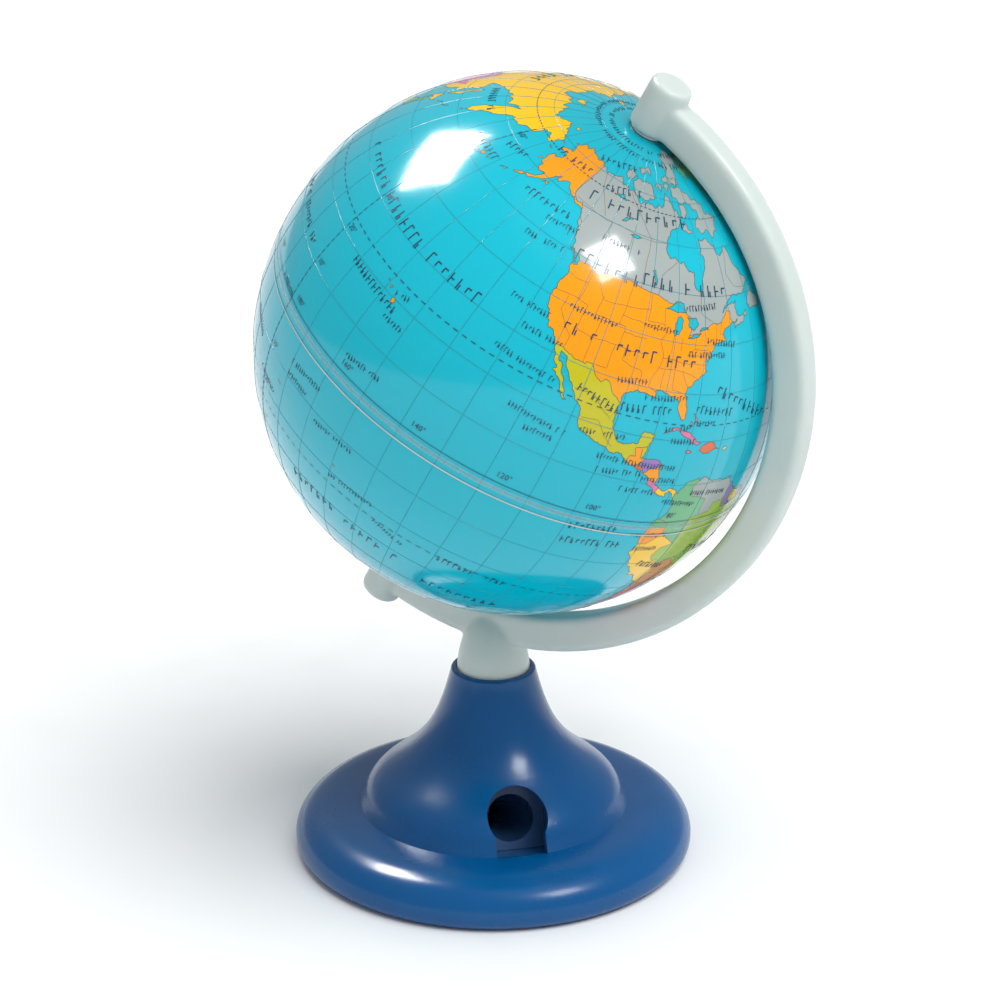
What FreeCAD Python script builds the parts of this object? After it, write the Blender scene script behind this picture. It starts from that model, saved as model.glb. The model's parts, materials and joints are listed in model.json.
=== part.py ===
import FreeCAD, Part
import math
import os
from FreeCAD import Vector as V

# Small desk globe on a round trumpet base with a pencil sharpener in its foot.
# Millimetres. +Z is up, the origin is the middle of the base on the table, and the
# sharpener faces -Y. The arm, and the globe's axis in it, lean towards arm_heading.

# ---- globe ----
ball_r = 42.5            # outside radius of the printed shells at the equator
ball_wall = 1.2          # thickness of the two half shells
seam_band = 0.85         # straight height of each half shell before it turns round
sleeve_wall = 1.4        # joining sleeve inside the equator
sleeve_reach = 3.0       # how far the sleeve reaches into each half
sleeve_lead = 0.3        # lead-in taper at the sleeve's two rims
tape_w = 0.9             # closing tape round the equator, height
tape_t = 0.08            # and thickness
axis_tilt = 29.5         # lean of the polar axis from the vertical, degrees
arm_heading = -40.6      # direction the axis leans towards, degrees from +X

# ---- pole bearings ----
pin_r = 1.0
pin_in_boss = 4.5        # depth pressed into the arm's boss
pin_in_ball = 3.2        # reach into the globe past its pole
bush_wall = 0.6
bush_barrel = 2.6        # barrel length inside the shell
bush_flange_r = 2.7
north_flange_t = 0.3     # flange thickness on the outside of the shell
south_flange_t = 1.5
pin_clear = 0.05         # running clearance, pin in bush, on the radius
flange_gap = 0.2         # end gap between bush flange and boss

# ---- arm ----
ring_gap = 2.85          # arm's inner radius over the globe's
arm_depth = 6.05         # radial depth of the arm's section
arm_t = 5.0              # thickness of the arm's section
arm_edge = 1.1           # rounding of the arm's four long edges
ring_drop = 1.2          # arm's centre below the globe's, along the axis
ring_back = 0.9          # arm's centre behind the globe's, square to the axis
boss_r = 3.4
boss_edge = 0.7          # rounding of the boss ends
boss_proud = 2.1         # boss end past the arm's outer radius

# ---- stem ----
stem_r = 6.1
stem_dome = 12.0         # height of the rounded shoulder that carries the arm
dome_sink = 1.5          # how far the dome's widest circle lies below the neck
arm_rise = 5.05          # arm's underside above the neck
arm_offset = 4.0         # arm's centre in front of the stem's axis, towards the heading
stem_plug = 11.5         # length that goes down into the neck
stem_clear = 0.05        # turning clearance in the neck, on the radius

# ---- base ----
base_r = 33.2
base_wall = 1.6
rim_z = 2.4              # height of the base's widest circle
rim_in = 2.3             # how far the underside starts inside that circle
disc_h = 8.3             # top of the disc at its crease
crease_r = 22.6
foot_in = 1.0            # trumpet's foot inside the crease
foot_rise = 1.7          # and above it
neck_wall = 0.9          # wall of the neck round the stem
neck_h = 32.5
neck_round = 0.45        # rounding of the neck's mouth
socket_floor = 2.0       # web under the stem's socket
screw_r = 1.5            # stem screw, thread radius
screw_len = 9.0
screw_clear = 0.2
screw_head_r = 2.9
screw_head_h = 1.9
screw_head_round = 1.14
recess_len = 3.48        # cross recess in the screw's head, length of its arms
recess_w = 0.87
recess_deep = 1.045
washer_r = 4.2
washer_t = 0.8

# ---- bottom cover ----
cover_rim = 3.3          # base's widest circle outside the cover's edge
cover_gap = 0.1          # on the radius, in its seat
cover_t = 1.7
cover_lift = 0.6         # underside of the cover above the table
ledge_w = 1.3            # width of the ledge that the cover's edge seats on
ledge_t = 1.6
cover_lip_h = 3.0        # upstand that grips the ledge's bore
cover_lip_t = 1.2
notch_r = 7.0            # finger notch in the cover's underside
notch_depth = 0.7

# ---- sharpener ----
axis_rise = 20.0         # bore's slope above the level, degrees
axis_r = 19.4            # where the bore's axis leaves the trumpet: radius
axis_z = 12.8            # and height
face_depth = 8.6         # sharpener's face behind that point
window_r = 5.0           # round top of the window
window_up = 0.9          # its centre above the bore's axis
window_half_w = 4.2      # half width of the window's straight foot
window_foot = 5.3        # foot of the window below the bore's axis
duct_wall = 1.2          # cheeks, roof and floor that hold the sharpener
duct_grip = 9.0          # length of the sharpener that they hold
sharp_w = 12.0
sharp_up = 5.5           # sharpener's top above the bore's axis
sharp_len = 13.5
sharp_clear = 0.05       # sharpener in its duct
sharp_corner = 0.6       # rounding of its four long edges
sharp_floor_gap = 0.7    # sharpener's underside above the cover
bore_r = 3.95
bore_side = 0.3          # bore's centre to the right of the sharpener's, clear of the blade
bore_len = 2.6           # straight mouth of the bore before the cone
tip_r = 0.8              # small end of the cone
blade_t = 0.5
blade_w = 4.8
blade_len = 8.6
blade_bevel = 60.0       # slope of the blade's ground edge, degrees
blade_bite = 0.9         # how far the blade's seat lies inside the cone's side
blade_edge_up = 0.5      # blade's cutting edge above the bore's axis
blade_screw_r = 0.8
blade_head_r = 1.3
blade_head_t = 0.6
blade_slot_w = 0.4
blade_slot_deep = 0.3
blade_screw_len = 2.0
blade_screw_back = 3.1   # screw's centre behind the cutting edge

# sizes that follow from those above
foot_r = crease_r - foot_in
foot_z = disc_h + foot_rise
neck_r = stem_r + stem_clear + neck_wall
cover_r = base_r - cover_rim
ledge_r = cover_r - ledge_w

UP = V(0, 0, 1)


def rz(r, z):
    return V(r, 0, z)


def revolve(outline):
    """Solid of revolution round Z from a closed outline given as edges, or as corner points."""
    edges = outline
    if isinstance(outline[0], V):
        edges = [line(a, b) for a, b in zip(outline, outline[1:] + outline[:1])]
    return Part.Face(Part.Wire(edges)).revolve(V(0, 0, 0), UP, 360)


def spline(points):
    curve = Part.BSplineCurve()
    curve.interpolate(points)
    return curve.toShape()


def line(a, b):
    return Part.LineSegment(a, b).toShape()


def tube(r_out, r_in, z0, z1):
    return revolve([rz(r_in, z0), rz(r_out, z0), rz(r_out, z1), rz(r_in, z1)])


def rod(r, z0, z1):
    return Part.makeCylinder(r, z1 - z0, V(0, 0, z0))


def inset(points, distance):
    """Points of an outline moved square to it, towards the axis and down."""
    moved = []
    for i, point in enumerate(points):
        ahead = points[min(i + 1, len(points) - 1)]
        behind = points[max(i - 1, 0)]
        along = (ahead - behind).normalize()
        moved.append(point - V(along.z, 0, -along.x) * distance)
    return moved


def save(name, shape):
    shape.exportStep("parts/" + name + ".step")
    print(name, "solids", len(shape.Solids), "valid", shape.isValid(), "volume", round(shape.Volume, 1))


# ---- places worked out from the sizes ----
ring_in = ball_r + ring_gap
ring_out = ring_in + arm_depth
tilt = math.radians(axis_tilt)
pole_dir = V(math.sin(tilt), 0, math.cos(tilt))
side_dir = V(math.cos(tilt), 0, -math.sin(tilt))
ring_centre = V(arm_offset, 0, neck_h + arm_rise + math.sqrt(ring_out ** 2 - arm_offset ** 2))
ball_centre = ring_centre + pole_dir * ring_drop + side_dir * ring_back
ball_pole = ball_r + seam_band


def place_on_axis(shape):
    """Carries a piece built round the globe's centre, poles on Z, to its place on the arm."""
    shape.rotate(V(0, 0, 0), V(0, 1, 0), axis_tilt)
    shape.translate(ball_centre)
    return face_heading(shape)


def face_heading(shape):
    shape.rotate(V(0, 0, 0), UP, arm_heading)
    return shape


# ---- globe: two half shells, sleeve, tape and the two pole bushes ----
def half_shell(side):
    """One half shell, side +1 north or -1 south: a dome on a short straight band."""
    inner_r = ball_r - ball_wall
    hole_r = pin_r + pin_clear + bush_wall
    outer_hole_z = seam_band + math.sqrt(ball_r ** 2 - hole_r ** 2)
    inner_hole_z = seam_band + math.sqrt(inner_r ** 2 - hole_r ** 2)
    half_turn = math.radians(45)

    def on_dome(r):
        return rz(r * math.cos(half_turn), side * (seam_band + r * math.sin(half_turn)))

    return revolve([
        line(rz(inner_r, 0), rz(ball_r, 0)),
        line(rz(ball_r, 0), rz(ball_r, side * seam_band)),
        Part.Arc(rz(ball_r, side * seam_band), on_dome(ball_r), rz(hole_r, side * outer_hole_z)).toShape(),
        line(rz(hole_r, side * outer_hole_z), rz(hole_r, side * inner_hole_z)),
        Part.Arc(rz(hole_r, side * inner_hole_z), on_dome(inner_r), rz(inner_r, side * seam_band)).toShape(),
        line(rz(inner_r, side * seam_band), rz(inner_r, 0)),
    ])


def equator_sleeve():
    r = ball_r - ball_wall
    corners = [
        rz(r - sleeve_wall, -sleeve_reach), rz(r - sleeve_lead, -sleeve_reach),
        rz(r, -seam_band), rz(r, seam_band),
        rz(r - sleeve_lead, sleeve_reach), rz(r - sleeve_wall, sleeve_reach),
    ]
    return revolve(corners)


def pole_bush(side, flange_t):
    """Eyelet in a pole: flange outside the shell, barrel through it."""
    bore = pin_r + pin_clear
    barrel_r = bore + bush_wall
    seat = seam_band + math.sqrt(ball_r ** 2 - barrel_r ** 2)
    top = ball_pole + flange_t
    inner_end = ball_pole - ball_wall - bush_barrel
    corners = [
        rz(bore, side * inner_end), rz(barrel_r, side * inner_end),
        rz(barrel_r, side * seat), rz(barrel_r, side * ball_pole),
        rz(bush_flange_r, side * ball_pole), rz(bush_flange_r, side * top), rz(bore, side * top),
    ]
    return revolve(corners)


north_boss_z = ball_pole + north_flange_t + flange_gap
south_boss_z = -(ball_pole + south_flange_t + flange_gap)


def pole_pin(side, boss_z):
    return rod(pin_r, *sorted((side * (ball_pole - pin_in_ball), boss_z + side * pin_in_boss)))


# ---- arm: half ring, bosses and domed stem in one moulding ----
def arm_ring():
    """Half ring in the upright plane of the heading, open side towards the upper left."""
    half = arm_t / 2
    section = Part.makePlane(arm_depth, arm_t, V(ring_in, -half, 0), UP)
    ring = section.revolve(V(0, 0, 0), V(0, 1, 0), -180)
    long_edges = [e for e in ring.Edges if isinstance(e.Curve, Part.Circle)]
    ring = ring.makeFillet(arm_edge, long_edges)
    # the half ring is made from +X round over +Z; turn it to run from pole to pole under the globe
    ring.rotate(V(0, 0, 0), V(0, 1, 0), 90 + axis_tilt)
    ring.translate(ring_centre)
    return ring


def boss(z_inner, z_outer):
    body = rod(boss_r, *sorted((z_inner, z_outer)))
    ends = [e for e in body.Edges if isinstance(e.Curve, Part.Circle)]
    outer = [e for e in ends if abs(e.CenterOfMass.z - z_outer) < 0.01]
    return body.makeFillet(boss_edge, outer)


def stem():
    """Plug in the neck, with an elliptical dome that the arm grows from."""
    waist = neck_h - dome_sink
    dome = Part.Ellipse(rz(0, waist + stem_dome), rz(stem_r, waist), rz(0, waist))
    arc = Part.ArcOfEllipse(dome, 0, math.pi / 2).toShape()
    top, side = rz(0, waist + stem_dome), rz(stem_r, waist)
    plug_z = neck_h - stem_plug
    return revolve([
        arc,
        line(side, rz(stem_r, plug_z)),
        line(rz(stem_r, plug_z), rz(0, plug_z)),
        line(rz(0, plug_z), top),
    ])


def meridian_arm():
    north = boss(north_boss_z, ring_out - ring_drop + boss_proud)
    south = boss(south_boss_z, -(ring_out + ring_drop + boss_proud))
    for piece in (north, south):
        piece.rotate(V(0, 0, 0), V(0, 1, 0), axis_tilt)
        piece.translate(ball_centre)
    arm = arm_ring().multiFuse([north, south, stem()]).removeSplitter()
    for side, boss_z in ((1, north_boss_z), (-1, south_boss_z)):
        hole = rod(pin_r, *sorted((boss_z, boss_z + side * pin_in_boss)))
        hole.rotate(V(0, 0, 0), V(0, 1, 0), axis_tilt)
        hole.translate(ball_centre)
        arm = arm.cut(hole)
    pilot_z = neck_h - stem_plug
    arm = arm.cut(rod(screw_r, pilot_z, pilot_z + screw_len))
    return face_heading(arm)


# ---- base: disc, stepped foot and trumpet neck in one hollow shell ----
def disc_points():
    """Disc's top from its widest circle in to the crease, as shares of its width and rise."""
    shares = [(0, 0), (0.075, 0.5), (0.32, 0.86), (0.66, 0.975), (1, 1)]
    width = base_r - crease_r
    rise = disc_h - rim_z
    return [rz(base_r - u * width, rim_z + v * rise) for u, v in shares]


def trumpet_points():
    """Trumpet from the foot's edge up to the neck, as shares of its width and height."""
    shares = [(1, 0), (0.955, 0.065), (0.61, 0.28), (0.25, 0.545), (0.07, 0.83), (0, 1)]
    top_z = neck_h - neck_round
    return [rz(neck_r + u * (foot_r - neck_r), foot_z + v * (top_z - foot_z)) for u, v in shares]


def base_outside():
    disc = disc_points()
    trumpet = trumpet_points()
    rim_mid = rz(base_r - rim_in * (1 - math.sin(math.pi / 4)), rim_z * (1 - math.sin(math.pi / 4)))
    lip = neck_round * (1 - math.sin(math.pi / 4))
    return revolve([
        line(rz(0, 0), rz(base_r - rim_in, 0)),
        Part.Arc(rz(base_r - rim_in, 0), rim_mid, disc[0]).toShape(),
        spline(disc),
        line(disc[-1], trumpet[0]),
        spline(trumpet),
        Part.Arc(trumpet[-1], rz(neck_r - lip, neck_h - lip), rz(neck_r - neck_round, neck_h)).toShape(),
        line(rz(neck_r - neck_round, neck_h), rz(0, neck_h)),
        line(rz(0, neck_h), rz(0, 0)),
    ])


socket_z = neck_h - stem_plug
web_z = socket_z - socket_floor
seat_z = cover_lift + cover_t + cover_gap
ledge_z = seat_z + ledge_t
lip_top = cover_lift + cover_t + cover_lip_h


def base_inside():
    """Hollow under the web: the outside's curves moved in by the wall."""
    disc = [p for p in inset(disc_points(), base_wall) if p.z > ledge_z + base_wall / 4]
    trumpet = inset(trumpet_points(), base_wall)
    under_foot = rz(crease_r - base_wall, disc[-1].z)
    hollow = revolve([
        line(rz(0, ledge_z), rz(disc[0].x, ledge_z)),
        line(rz(disc[0].x, ledge_z), disc[0]),
        spline(disc),
        line(disc[-1], under_foot),
        line(under_foot, trumpet[0]),
        spline(trumpet),
        line(trumpet[-1], rz(0, trumpet[-1].z)),
        line(rz(0, trumpet[-1].z), rz(0, ledge_z)),
    ])
    above_web = rod(base_r, web_z, neck_h + 1)
    return hollow.cut(above_web)


def on_sharpener_axis(shape):
    """Carries a piece built along Z, mouth up and foot towards +X, to its place in the base."""
    shape.rotate(V(0, 0, 0), V(0, 1, 0), 90 - axis_rise)
    shape.translate(rz(axis_r, axis_z))
    shape.rotate(V(0, 0, 0), UP, -90)
    return shape


def window_bar(z0, z1):
    """Keyhole bar: a round top above the bore's axis and a straight foot below it."""
    long = z1 - z0
    round_top = Part.makeCylinder(window_r, long, V(-window_up, 0, z0))
    foot = Part.makeBox(window_foot + window_up, 2 * window_half_w, long, V(-window_up, -window_half_w, z0))
    return round_top.fuse(foot)


def block(grow, z0, z1):
    """Square bar with the sharpener's own section, grown all round."""
    high = sharp_up + window_foot + 2 * grow
    wide = sharp_w + 2 * grow
    return Part.makeBox(high, wide, z1 - z0, V(-sharp_up - grow, -wide / 2, z0))


def duct():
    """Cheeks, floor and roof behind the window, in one with the shell."""
    back = -face_depth - duct_grip
    walls = block(duct_wall, back, face_depth).cut(block(0, back - 1, face_depth + 1))
    return on_sharpener_axis(walls)


def base_shell():
    outside = base_outside()
    shell = outside.cut(base_inside())
    shell = shell.cut(rod(cover_r + cover_gap, -1, seat_z))
    shell = shell.cut(rod(ledge_r, 0, lip_top + cover_gap))
    above_cover = rod(crease_r, seat_z + sharp_floor_gap, web_z)
    shell = shell.fuse(duct().common(outside).common(above_cover)).removeSplitter()
    shell = shell.cut(on_sharpener_axis(window_bar(-face_depth, 2 * face_depth)))
    shell = shell.cut(rod(stem_r + stem_clear, socket_z, neck_h + 1))
    return shell.cut(rod(screw_r + screw_clear, web_z - 1, socket_z + 1))


# ---- sharpener: body, blade and its screw ----
face_z = -face_depth
cone_len = sharp_len - bore_len
cone_angle = math.degrees(math.atan((bore_r - tip_r) / cone_len))
blade_mid = face_z - bore_len - cone_len / 2
blade_mid_r = (bore_r + tip_r) / 2


def on_blade_seat(shape):
    """Carries a piece built on the XZ plane, outside towards -Y, to the sharpener's left flank."""
    shape.rotate(V(0, 0, 0), V(1, 0, 0), cone_angle)
    shape.translate(V(0, bore_side - blade_mid_r + blade_bite, blade_mid))
    return shape


def blade_pieces():
    """Bevelled blade and its slotted screw, lying on the XZ plane."""
    blade = Part.makeBox(blade_w, blade_t, blade_len, V(-blade_w - blade_edge_up, -blade_t, -blade_len / 2))
    bevel = Part.makeBox(blade_w, 2 * blade_t, blade_len + 1, V(0, -2 * blade_t, -blade_len / 2 - 0.5))
    bevel.rotate(V(0, 0, 0), UP, -blade_bevel)
    bevel.translate(V(-blade_edge_up, 0, 0))
    blade = blade.cut(bevel)
    shank = Part.makeCylinder(blade_screw_r, blade_screw_len + blade_t, V(0, -blade_t, 0), V(0, 1, 0))
    head = Part.makeCylinder(blade_head_r, blade_head_t, V(0, -blade_t, 0), V(0, -1, 0))
    slot = Part.makeBox(2 * blade_head_r, blade_slot_deep, blade_slot_w)
    slot.translate(V(-blade_head_r, -blade_t - blade_head_t, -blade_slot_w / 2))
    screw = shank.fuse(head.cut(slot)).removeSplitter()
    for piece in (shank, screw):
        piece.translate(V(-blade_edge_up - blade_screw_back, 0, 0))
    return blade.cut(shank), screw, shank


def sharpener():
    """The three pieces of the sharpener, in place in the base."""
    body = block(-sharp_clear, face_z - sharp_len, face_z)
    long_edges = [e for e in body.Edges if abs(e.Vertexes[0].Z - e.Vertexes[1].Z) > 1]
    body = body.makeFillet(sharp_corner, long_edges)
    mouth = Part.makeCylinder(bore_r, bore_len + 1, V(0, bore_side, face_z - bore_len))
    cone = Part.makeCone(tip_r, bore_r, cone_len, V(0, bore_side, face_z - sharp_len))
    body = body.cut(mouth.fuse(cone))
    flank = Part.makeBox(3 * sharp_w, sharp_w, blade_len + sharp_len)
    flank.translate(V(-1.5 * sharp_w, -sharp_w, blade_len / 2 + sharp_clear - blade_len - sharp_len))
    blade, screw, shank = blade_pieces()
    body = body.cut(on_blade_seat(flank)).cut(on_blade_seat(shank))
    under = Part.makeBox(4 * base_r, 4 * base_r, seat_z + sharp_floor_gap, V(-2 * base_r, -2 * base_r, 0))
    body = on_sharpener_axis(body).cut(under)
    return {
        "sharpener_body": max(body.Solids, key=lambda solid: solid.Volume),
        "sharpener_blade": on_sharpener_axis(on_blade_seat(blade)),
        "blade_screw": on_sharpener_axis(on_blade_seat(screw)),
    }


# ---- bottom cover and the stem's screw ----
def bottom_cover():
    top = cover_lift + cover_t
    lip_r = ledge_r - cover_gap
    plate = rod(cover_r, cover_lift, top)
    lip = tube(lip_r, lip_r - cover_lip_t, top, lip_top)
    notch = Part.makeCylinder(notch_r, notch_depth + 1, V(0, -cover_r, cover_lift - 1))
    return plate.fuse(lip).cut(notch).removeSplitter()


def stem_washer():
    return tube(washer_r, screw_r + screw_clear, web_z - washer_t, web_z)


def stem_screw():
    seat = web_z - washer_t
    shank = rod(screw_r, seat, socket_z + screw_len - socket_floor)
    head = rod(screw_head_r, seat - screw_head_h, seat)
    rounded = [e for e in head.Edges if isinstance(e.Curve, Part.Circle) and e.CenterOfMass.z < seat - 0.1]
    head = head.makeFillet(screw_head_round, rounded)
    cross = Part.makeBox(recess_len, recess_w, recess_deep)
    cross.translate(V(-recess_len / 2, -recess_w / 2, seat - screw_head_h))
    other = cross.copy()
    other.rotate(V(0, 0, 0), UP, 90)
    return shank.fuse(head).cut(cross.fuse(other)).removeSplitter()


os.makedirs("parts", exist_ok=True)
save("base_shell", base_shell())
save("bottom_cover", bottom_cover())
for node, solid in sharpener().items():
    save(node, solid)
save("meridian_arm", meridian_arm())
save("stem_washer", stem_washer())
save("stem_screw", face_heading(stem_screw()))
save("globe_north_half", place_on_axis(half_shell(1)))
save("globe_south_half", place_on_axis(half_shell(-1)))
save("equator_sleeve", place_on_axis(equator_sleeve()))
save("equator_tape", place_on_axis(tube(ball_r + tape_t, ball_r, -tape_w / 2, tape_w / 2)))
save("pole_bush_north", place_on_axis(pole_bush(1, north_flange_t)))
save("pole_bush_south", place_on_axis(pole_bush(-1, south_flange_t)))
save("pole_pin_north", place_on_axis(pole_pin(1, north_boss_z)))
save("pole_pin_south", place_on_axis(pole_pin(-1, south_boss_z)))
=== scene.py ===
"""A small desk globe on a trumpet base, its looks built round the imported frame. Metres, Z up."""

import json
import math

import bmesh
import bpy
from mathutils import Matrix, Vector
from mathutils.geometry import delaunay_2d_cdt


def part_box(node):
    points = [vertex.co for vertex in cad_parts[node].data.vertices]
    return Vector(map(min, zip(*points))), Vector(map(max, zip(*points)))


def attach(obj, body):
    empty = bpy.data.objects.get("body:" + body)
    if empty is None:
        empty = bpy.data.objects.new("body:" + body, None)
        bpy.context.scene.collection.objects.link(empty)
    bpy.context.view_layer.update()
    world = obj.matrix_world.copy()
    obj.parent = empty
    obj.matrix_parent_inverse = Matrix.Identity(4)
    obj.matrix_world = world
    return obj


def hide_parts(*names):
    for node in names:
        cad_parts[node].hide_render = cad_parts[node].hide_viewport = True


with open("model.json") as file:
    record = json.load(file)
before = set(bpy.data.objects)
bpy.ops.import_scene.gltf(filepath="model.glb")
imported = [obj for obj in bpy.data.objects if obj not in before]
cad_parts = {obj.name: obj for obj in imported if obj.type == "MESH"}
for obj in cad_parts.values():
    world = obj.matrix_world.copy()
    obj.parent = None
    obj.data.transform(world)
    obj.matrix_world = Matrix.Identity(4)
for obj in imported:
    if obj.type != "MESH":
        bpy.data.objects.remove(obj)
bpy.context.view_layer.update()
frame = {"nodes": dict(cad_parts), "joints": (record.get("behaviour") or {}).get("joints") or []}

nodes = frame["nodes"]
joints = {joint["name"]: joint for joint in frame["joints"]}
MM = 0.001


# ---- base shell ----
# One hollow injection moulding in deep blue plastic: a disc, a stepped foot and a trumpet neck.
# Its satin skin carries a faint orange peel, and the keyhole window is cut through the foot.

def shade(red, green, blue):
    """A printed or moulded colour, given as it looks on a swatch from 0 to 255."""
    return tuple((channel / 255) ** 2.2 for channel in (red, green, blue)) + (1.0,)


def new_tree(name, kind, inputs, outputs):
    """A node tree with named sockets, a short form for adding nodes to it, and its inputs."""
    tree = bpy.data.node_groups.new(name, kind)
    for socket, sort, value in inputs:
        made = tree.interface.new_socket(socket, in_out="INPUT", socket_type="NodeSocket" + sort)
        if value is not None:
            made.default_value = value
    for socket, sort in outputs:
        tree.interface.new_socket(socket, in_out="OUTPUT", socket_type="NodeSocket" + sort)
    add = node_adder(tree)
    return tree, add, add("NodeGroupInput").outputs


def node_adder(tree):
    """A short form for adding a node to a tree with its socket values, its links and its settings."""
    def add(kind, values=None, links=None, **settings):
        node = tree.nodes.new(kind)
        for setting, value in settings.items():
            setattr(node, setting, value)
        for socket, value in (values or {}).items():
            node.inputs[socket].default_value = value
        for socket, source in (links or {}).items():
            tree.links.new(source, node.inputs[socket])
        return node
    return add


def moulded_skin():
    """Group: a plastic's colour with soft clouding, its roughness and the height of its skin."""
    group, add, given = new_tree(
        "moulded_skin", "ShaderNodeTree",
        (("Colour", "Color", (1, 1, 1, 1)), ("Deep", "Color", (0, 0, 0, 1)), ("Cloud", "Float", 0.3),
         ("Roughness", "Float", 0.3), ("Cloud size", "Float", 90.0), ("Peel size", "Float", 900.0)),
        (("Colour", "Color"), ("Roughness", "Float"), ("Height", "Float")))
    place = add("ShaderNodeTexCoord").outputs["Object"]
    cloud = add("ShaderNodeTexNoise", {"Detail": 4}, {"Vector": place, "Scale": given["Cloud size"]})
    share = add("ShaderNodeMath", None, {0: cloud.outputs["Fac"], 1: given["Cloud"]}, operation="MULTIPLY")
    tone = add("ShaderNodeMix", None, {"Factor": share.outputs[0], "A": given["Colour"], "B": given["Deep"]},
               data_type="RGBA")
    peel = add("ShaderNodeTexNoise", {"Detail": 2}, {"Vector": place, "Scale": given["Peel size"]})
    worn = add("ShaderNodeMapRange", {"From Min": 0.3, "From Max": 0.7, "To Min": 0.85, "To Max": 1.2},
               {"Value": cloud.outputs["Fac"]})
    rough = add("ShaderNodeMath", None, {0: worn.outputs["Result"], 1: given["Roughness"]},
                operation="MULTIPLY")
    add("NodeGroupOutput", None, {"Colour": tone.outputs["Result"], "Roughness": rough.outputs[0],
                                  "Height": peel.outputs["Fac"]})
    return group


SKIN = moulded_skin()
SKIN_DEPTH = 0.1 * MM


def moulded(name, colour, deep, cloud, roughness, peel=0.02, cloud_size=90, peel_size=900, **constants):
    """A finish that takes its colour, roughness and skin from the moulded_skin group."""
    material = bpy.data.materials.new(name)
    material.use_nodes = True
    tree = material.node_tree
    shader = tree.nodes["Principled BSDF"]
    add = node_adder(tree)
    skin = add("ShaderNodeGroup", None, None, node_tree=SKIN, name="skin")
    for socket, value in (("Colour", colour), ("Deep", deep), ("Cloud", cloud), ("Roughness", roughness),
                          ("Cloud size", cloud_size), ("Peel size", peel_size)):
        skin.inputs[socket].default_value = value
    bump = add("ShaderNodeBump", {"Strength": peel, "Distance": SKIN_DEPTH},
               {"Height": skin.outputs["Height"]})
    for socket, source in (("Base Color", skin.outputs["Colour"]), ("Roughness", skin.outputs["Roughness"]),
                           ("Normal", bump.outputs["Normal"])):
        tree.links.new(source, shader.inputs[socket])
    for socket, value in constants.items():
        shader.inputs[socket.replace("_", " ")].default_value = value
    return material


def finished(name, mesh, material, body, *stands_for, slot=None):
    """Makes a piece of a mesh, with its finish, on its body, in place of the nodes it stands for."""
    piece = bpy.data.objects.new(name, mesh)
    bpy.context.scene.collection.objects.link(piece)
    if material:
        mesh.materials.clear()
        mesh.materials.append(material)
    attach(piece, body)
    if stands_for:
        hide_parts(*stands_for)
    return piece


def smooth_copy(node, crease=35):
    """A node's own shape with its triangles joined up, smooth but for its creases."""
    mesh = nodes[node].data.copy()
    mesh.name = node + "_skin"
    shape = bmesh.new()
    shape.from_mesh(mesh)
    bmesh.ops.remove_doubles(shape, verts=shape.verts, dist=0.001 * MM)
    for face in shape.faces:
        face.smooth = True
    for edge in shape.edges:
        edge.smooth = len(edge.link_faces) == 2 and edge.calc_face_angle(0) < math.radians(crease)
    shape.to_mesh(mesh)
    shape.free()
    for layer in list(mesh.attributes):
        if layer.name.startswith("custom_normal"):
            mesh.attributes.remove(layer)
    return mesh


base_blue = moulded("base_blue", shade(0, 88, 146), shade(0, 58, 106), 0.5, 0.24, peel=0.05,
                    Coat_Weight=0.1, Coat_Roughness=0.12, Specular_IOR_Level=0.3)
finished("base_moulding", smooth_copy("base_shell"), base_blue, "base", "base_shell", slot="base_blue")


# ---- bottom cover ----
# A flat disc of the same blue plastic that snaps into the base and shuts the shavings chamber.
# Its underside has three raised stiffening rings and a shallow notch for a fingernail.

cover_blue = moulded("cover_blue", shade(20, 78, 142), shade(14, 50, 108), 0.6, 0.42, peel=0.12,
                     Specular_IOR_Level=0.45)
finished("cover_moulding", smooth_copy("bottom_cover"), cover_blue, "cover", "bottom_cover",
         slot="base_blue")
cover_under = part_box("bottom_cover")[0][2]
ring_shape = bmesh.new()
for ring_r in (8 * MM, 14 * MM, 20 * MM):
    loops = []
    for out, down in ((-0.5, 0), (-0.3, 0.25), (0.3, 0.25), (0.5, 0)):
        spots = [(math.cos(math.tau * k / 96), math.sin(math.tau * k / 96)) for k in range(96)]
        loops.append([ring_shape.verts.new(((ring_r + out * MM) * x, (ring_r + out * MM) * y,
                                            cover_under - down * MM)) for x, y in spots])
    for inner, outer in zip(loops, loops[1:]):
        for k in range(96):
            ring_shape.faces.new((inner[k - 1], inner[k], outer[k], outer[k - 1])).smooth = True
ring_mesh = bpy.data.meshes.new("cover_rings")
ring_shape.to_mesh(ring_mesh)
ring_shape.free()
finished("cover_rings", ring_mesh, cover_blue, "cover", slot="base_blue")


# ---- pencil sharpener ----
# A dark blue plastic block with a round mouth and a cone, pushed into the duct behind the window.
# A ground steel blade lies on its left flank, held by one slotted screw.

sharpener_blue = moulded("sharpener_blue", shade(64, 104, 150), shade(28, 66, 112), 0.7, 0.28, peel=0.06,
                         Coat_Weight=0.2, Coat_Roughness=0.15)
finished("sharpener_block", smooth_copy("sharpener_body"), sharpener_blue, "base", "sharpener_body",
         slot="sharpener_blue")
ground_steel = moulded("ground_steel", shade(128, 130, 136), shade(70, 72, 80), 0.7, 0.26, peel=0.1,
                       cloud_size=400, peel_size=2500, Metallic=1.0)
zinc_plate = moulded("zinc_plate", shade(176, 176, 172), shade(112, 114, 116), 0.8, 0.34, peel=0.15,
                     cloud_size=260, peel_size=1800, Metallic=1.0)
finished("blade", smooth_copy("sharpener_blade", 20), ground_steel, "base", "sharpener_blade",
         slot="blade_steel")
finished("blade_fixing", smooth_copy("blade_screw"), zinc_plate, "base", "blade_screw", slot="screw_steel")


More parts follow.
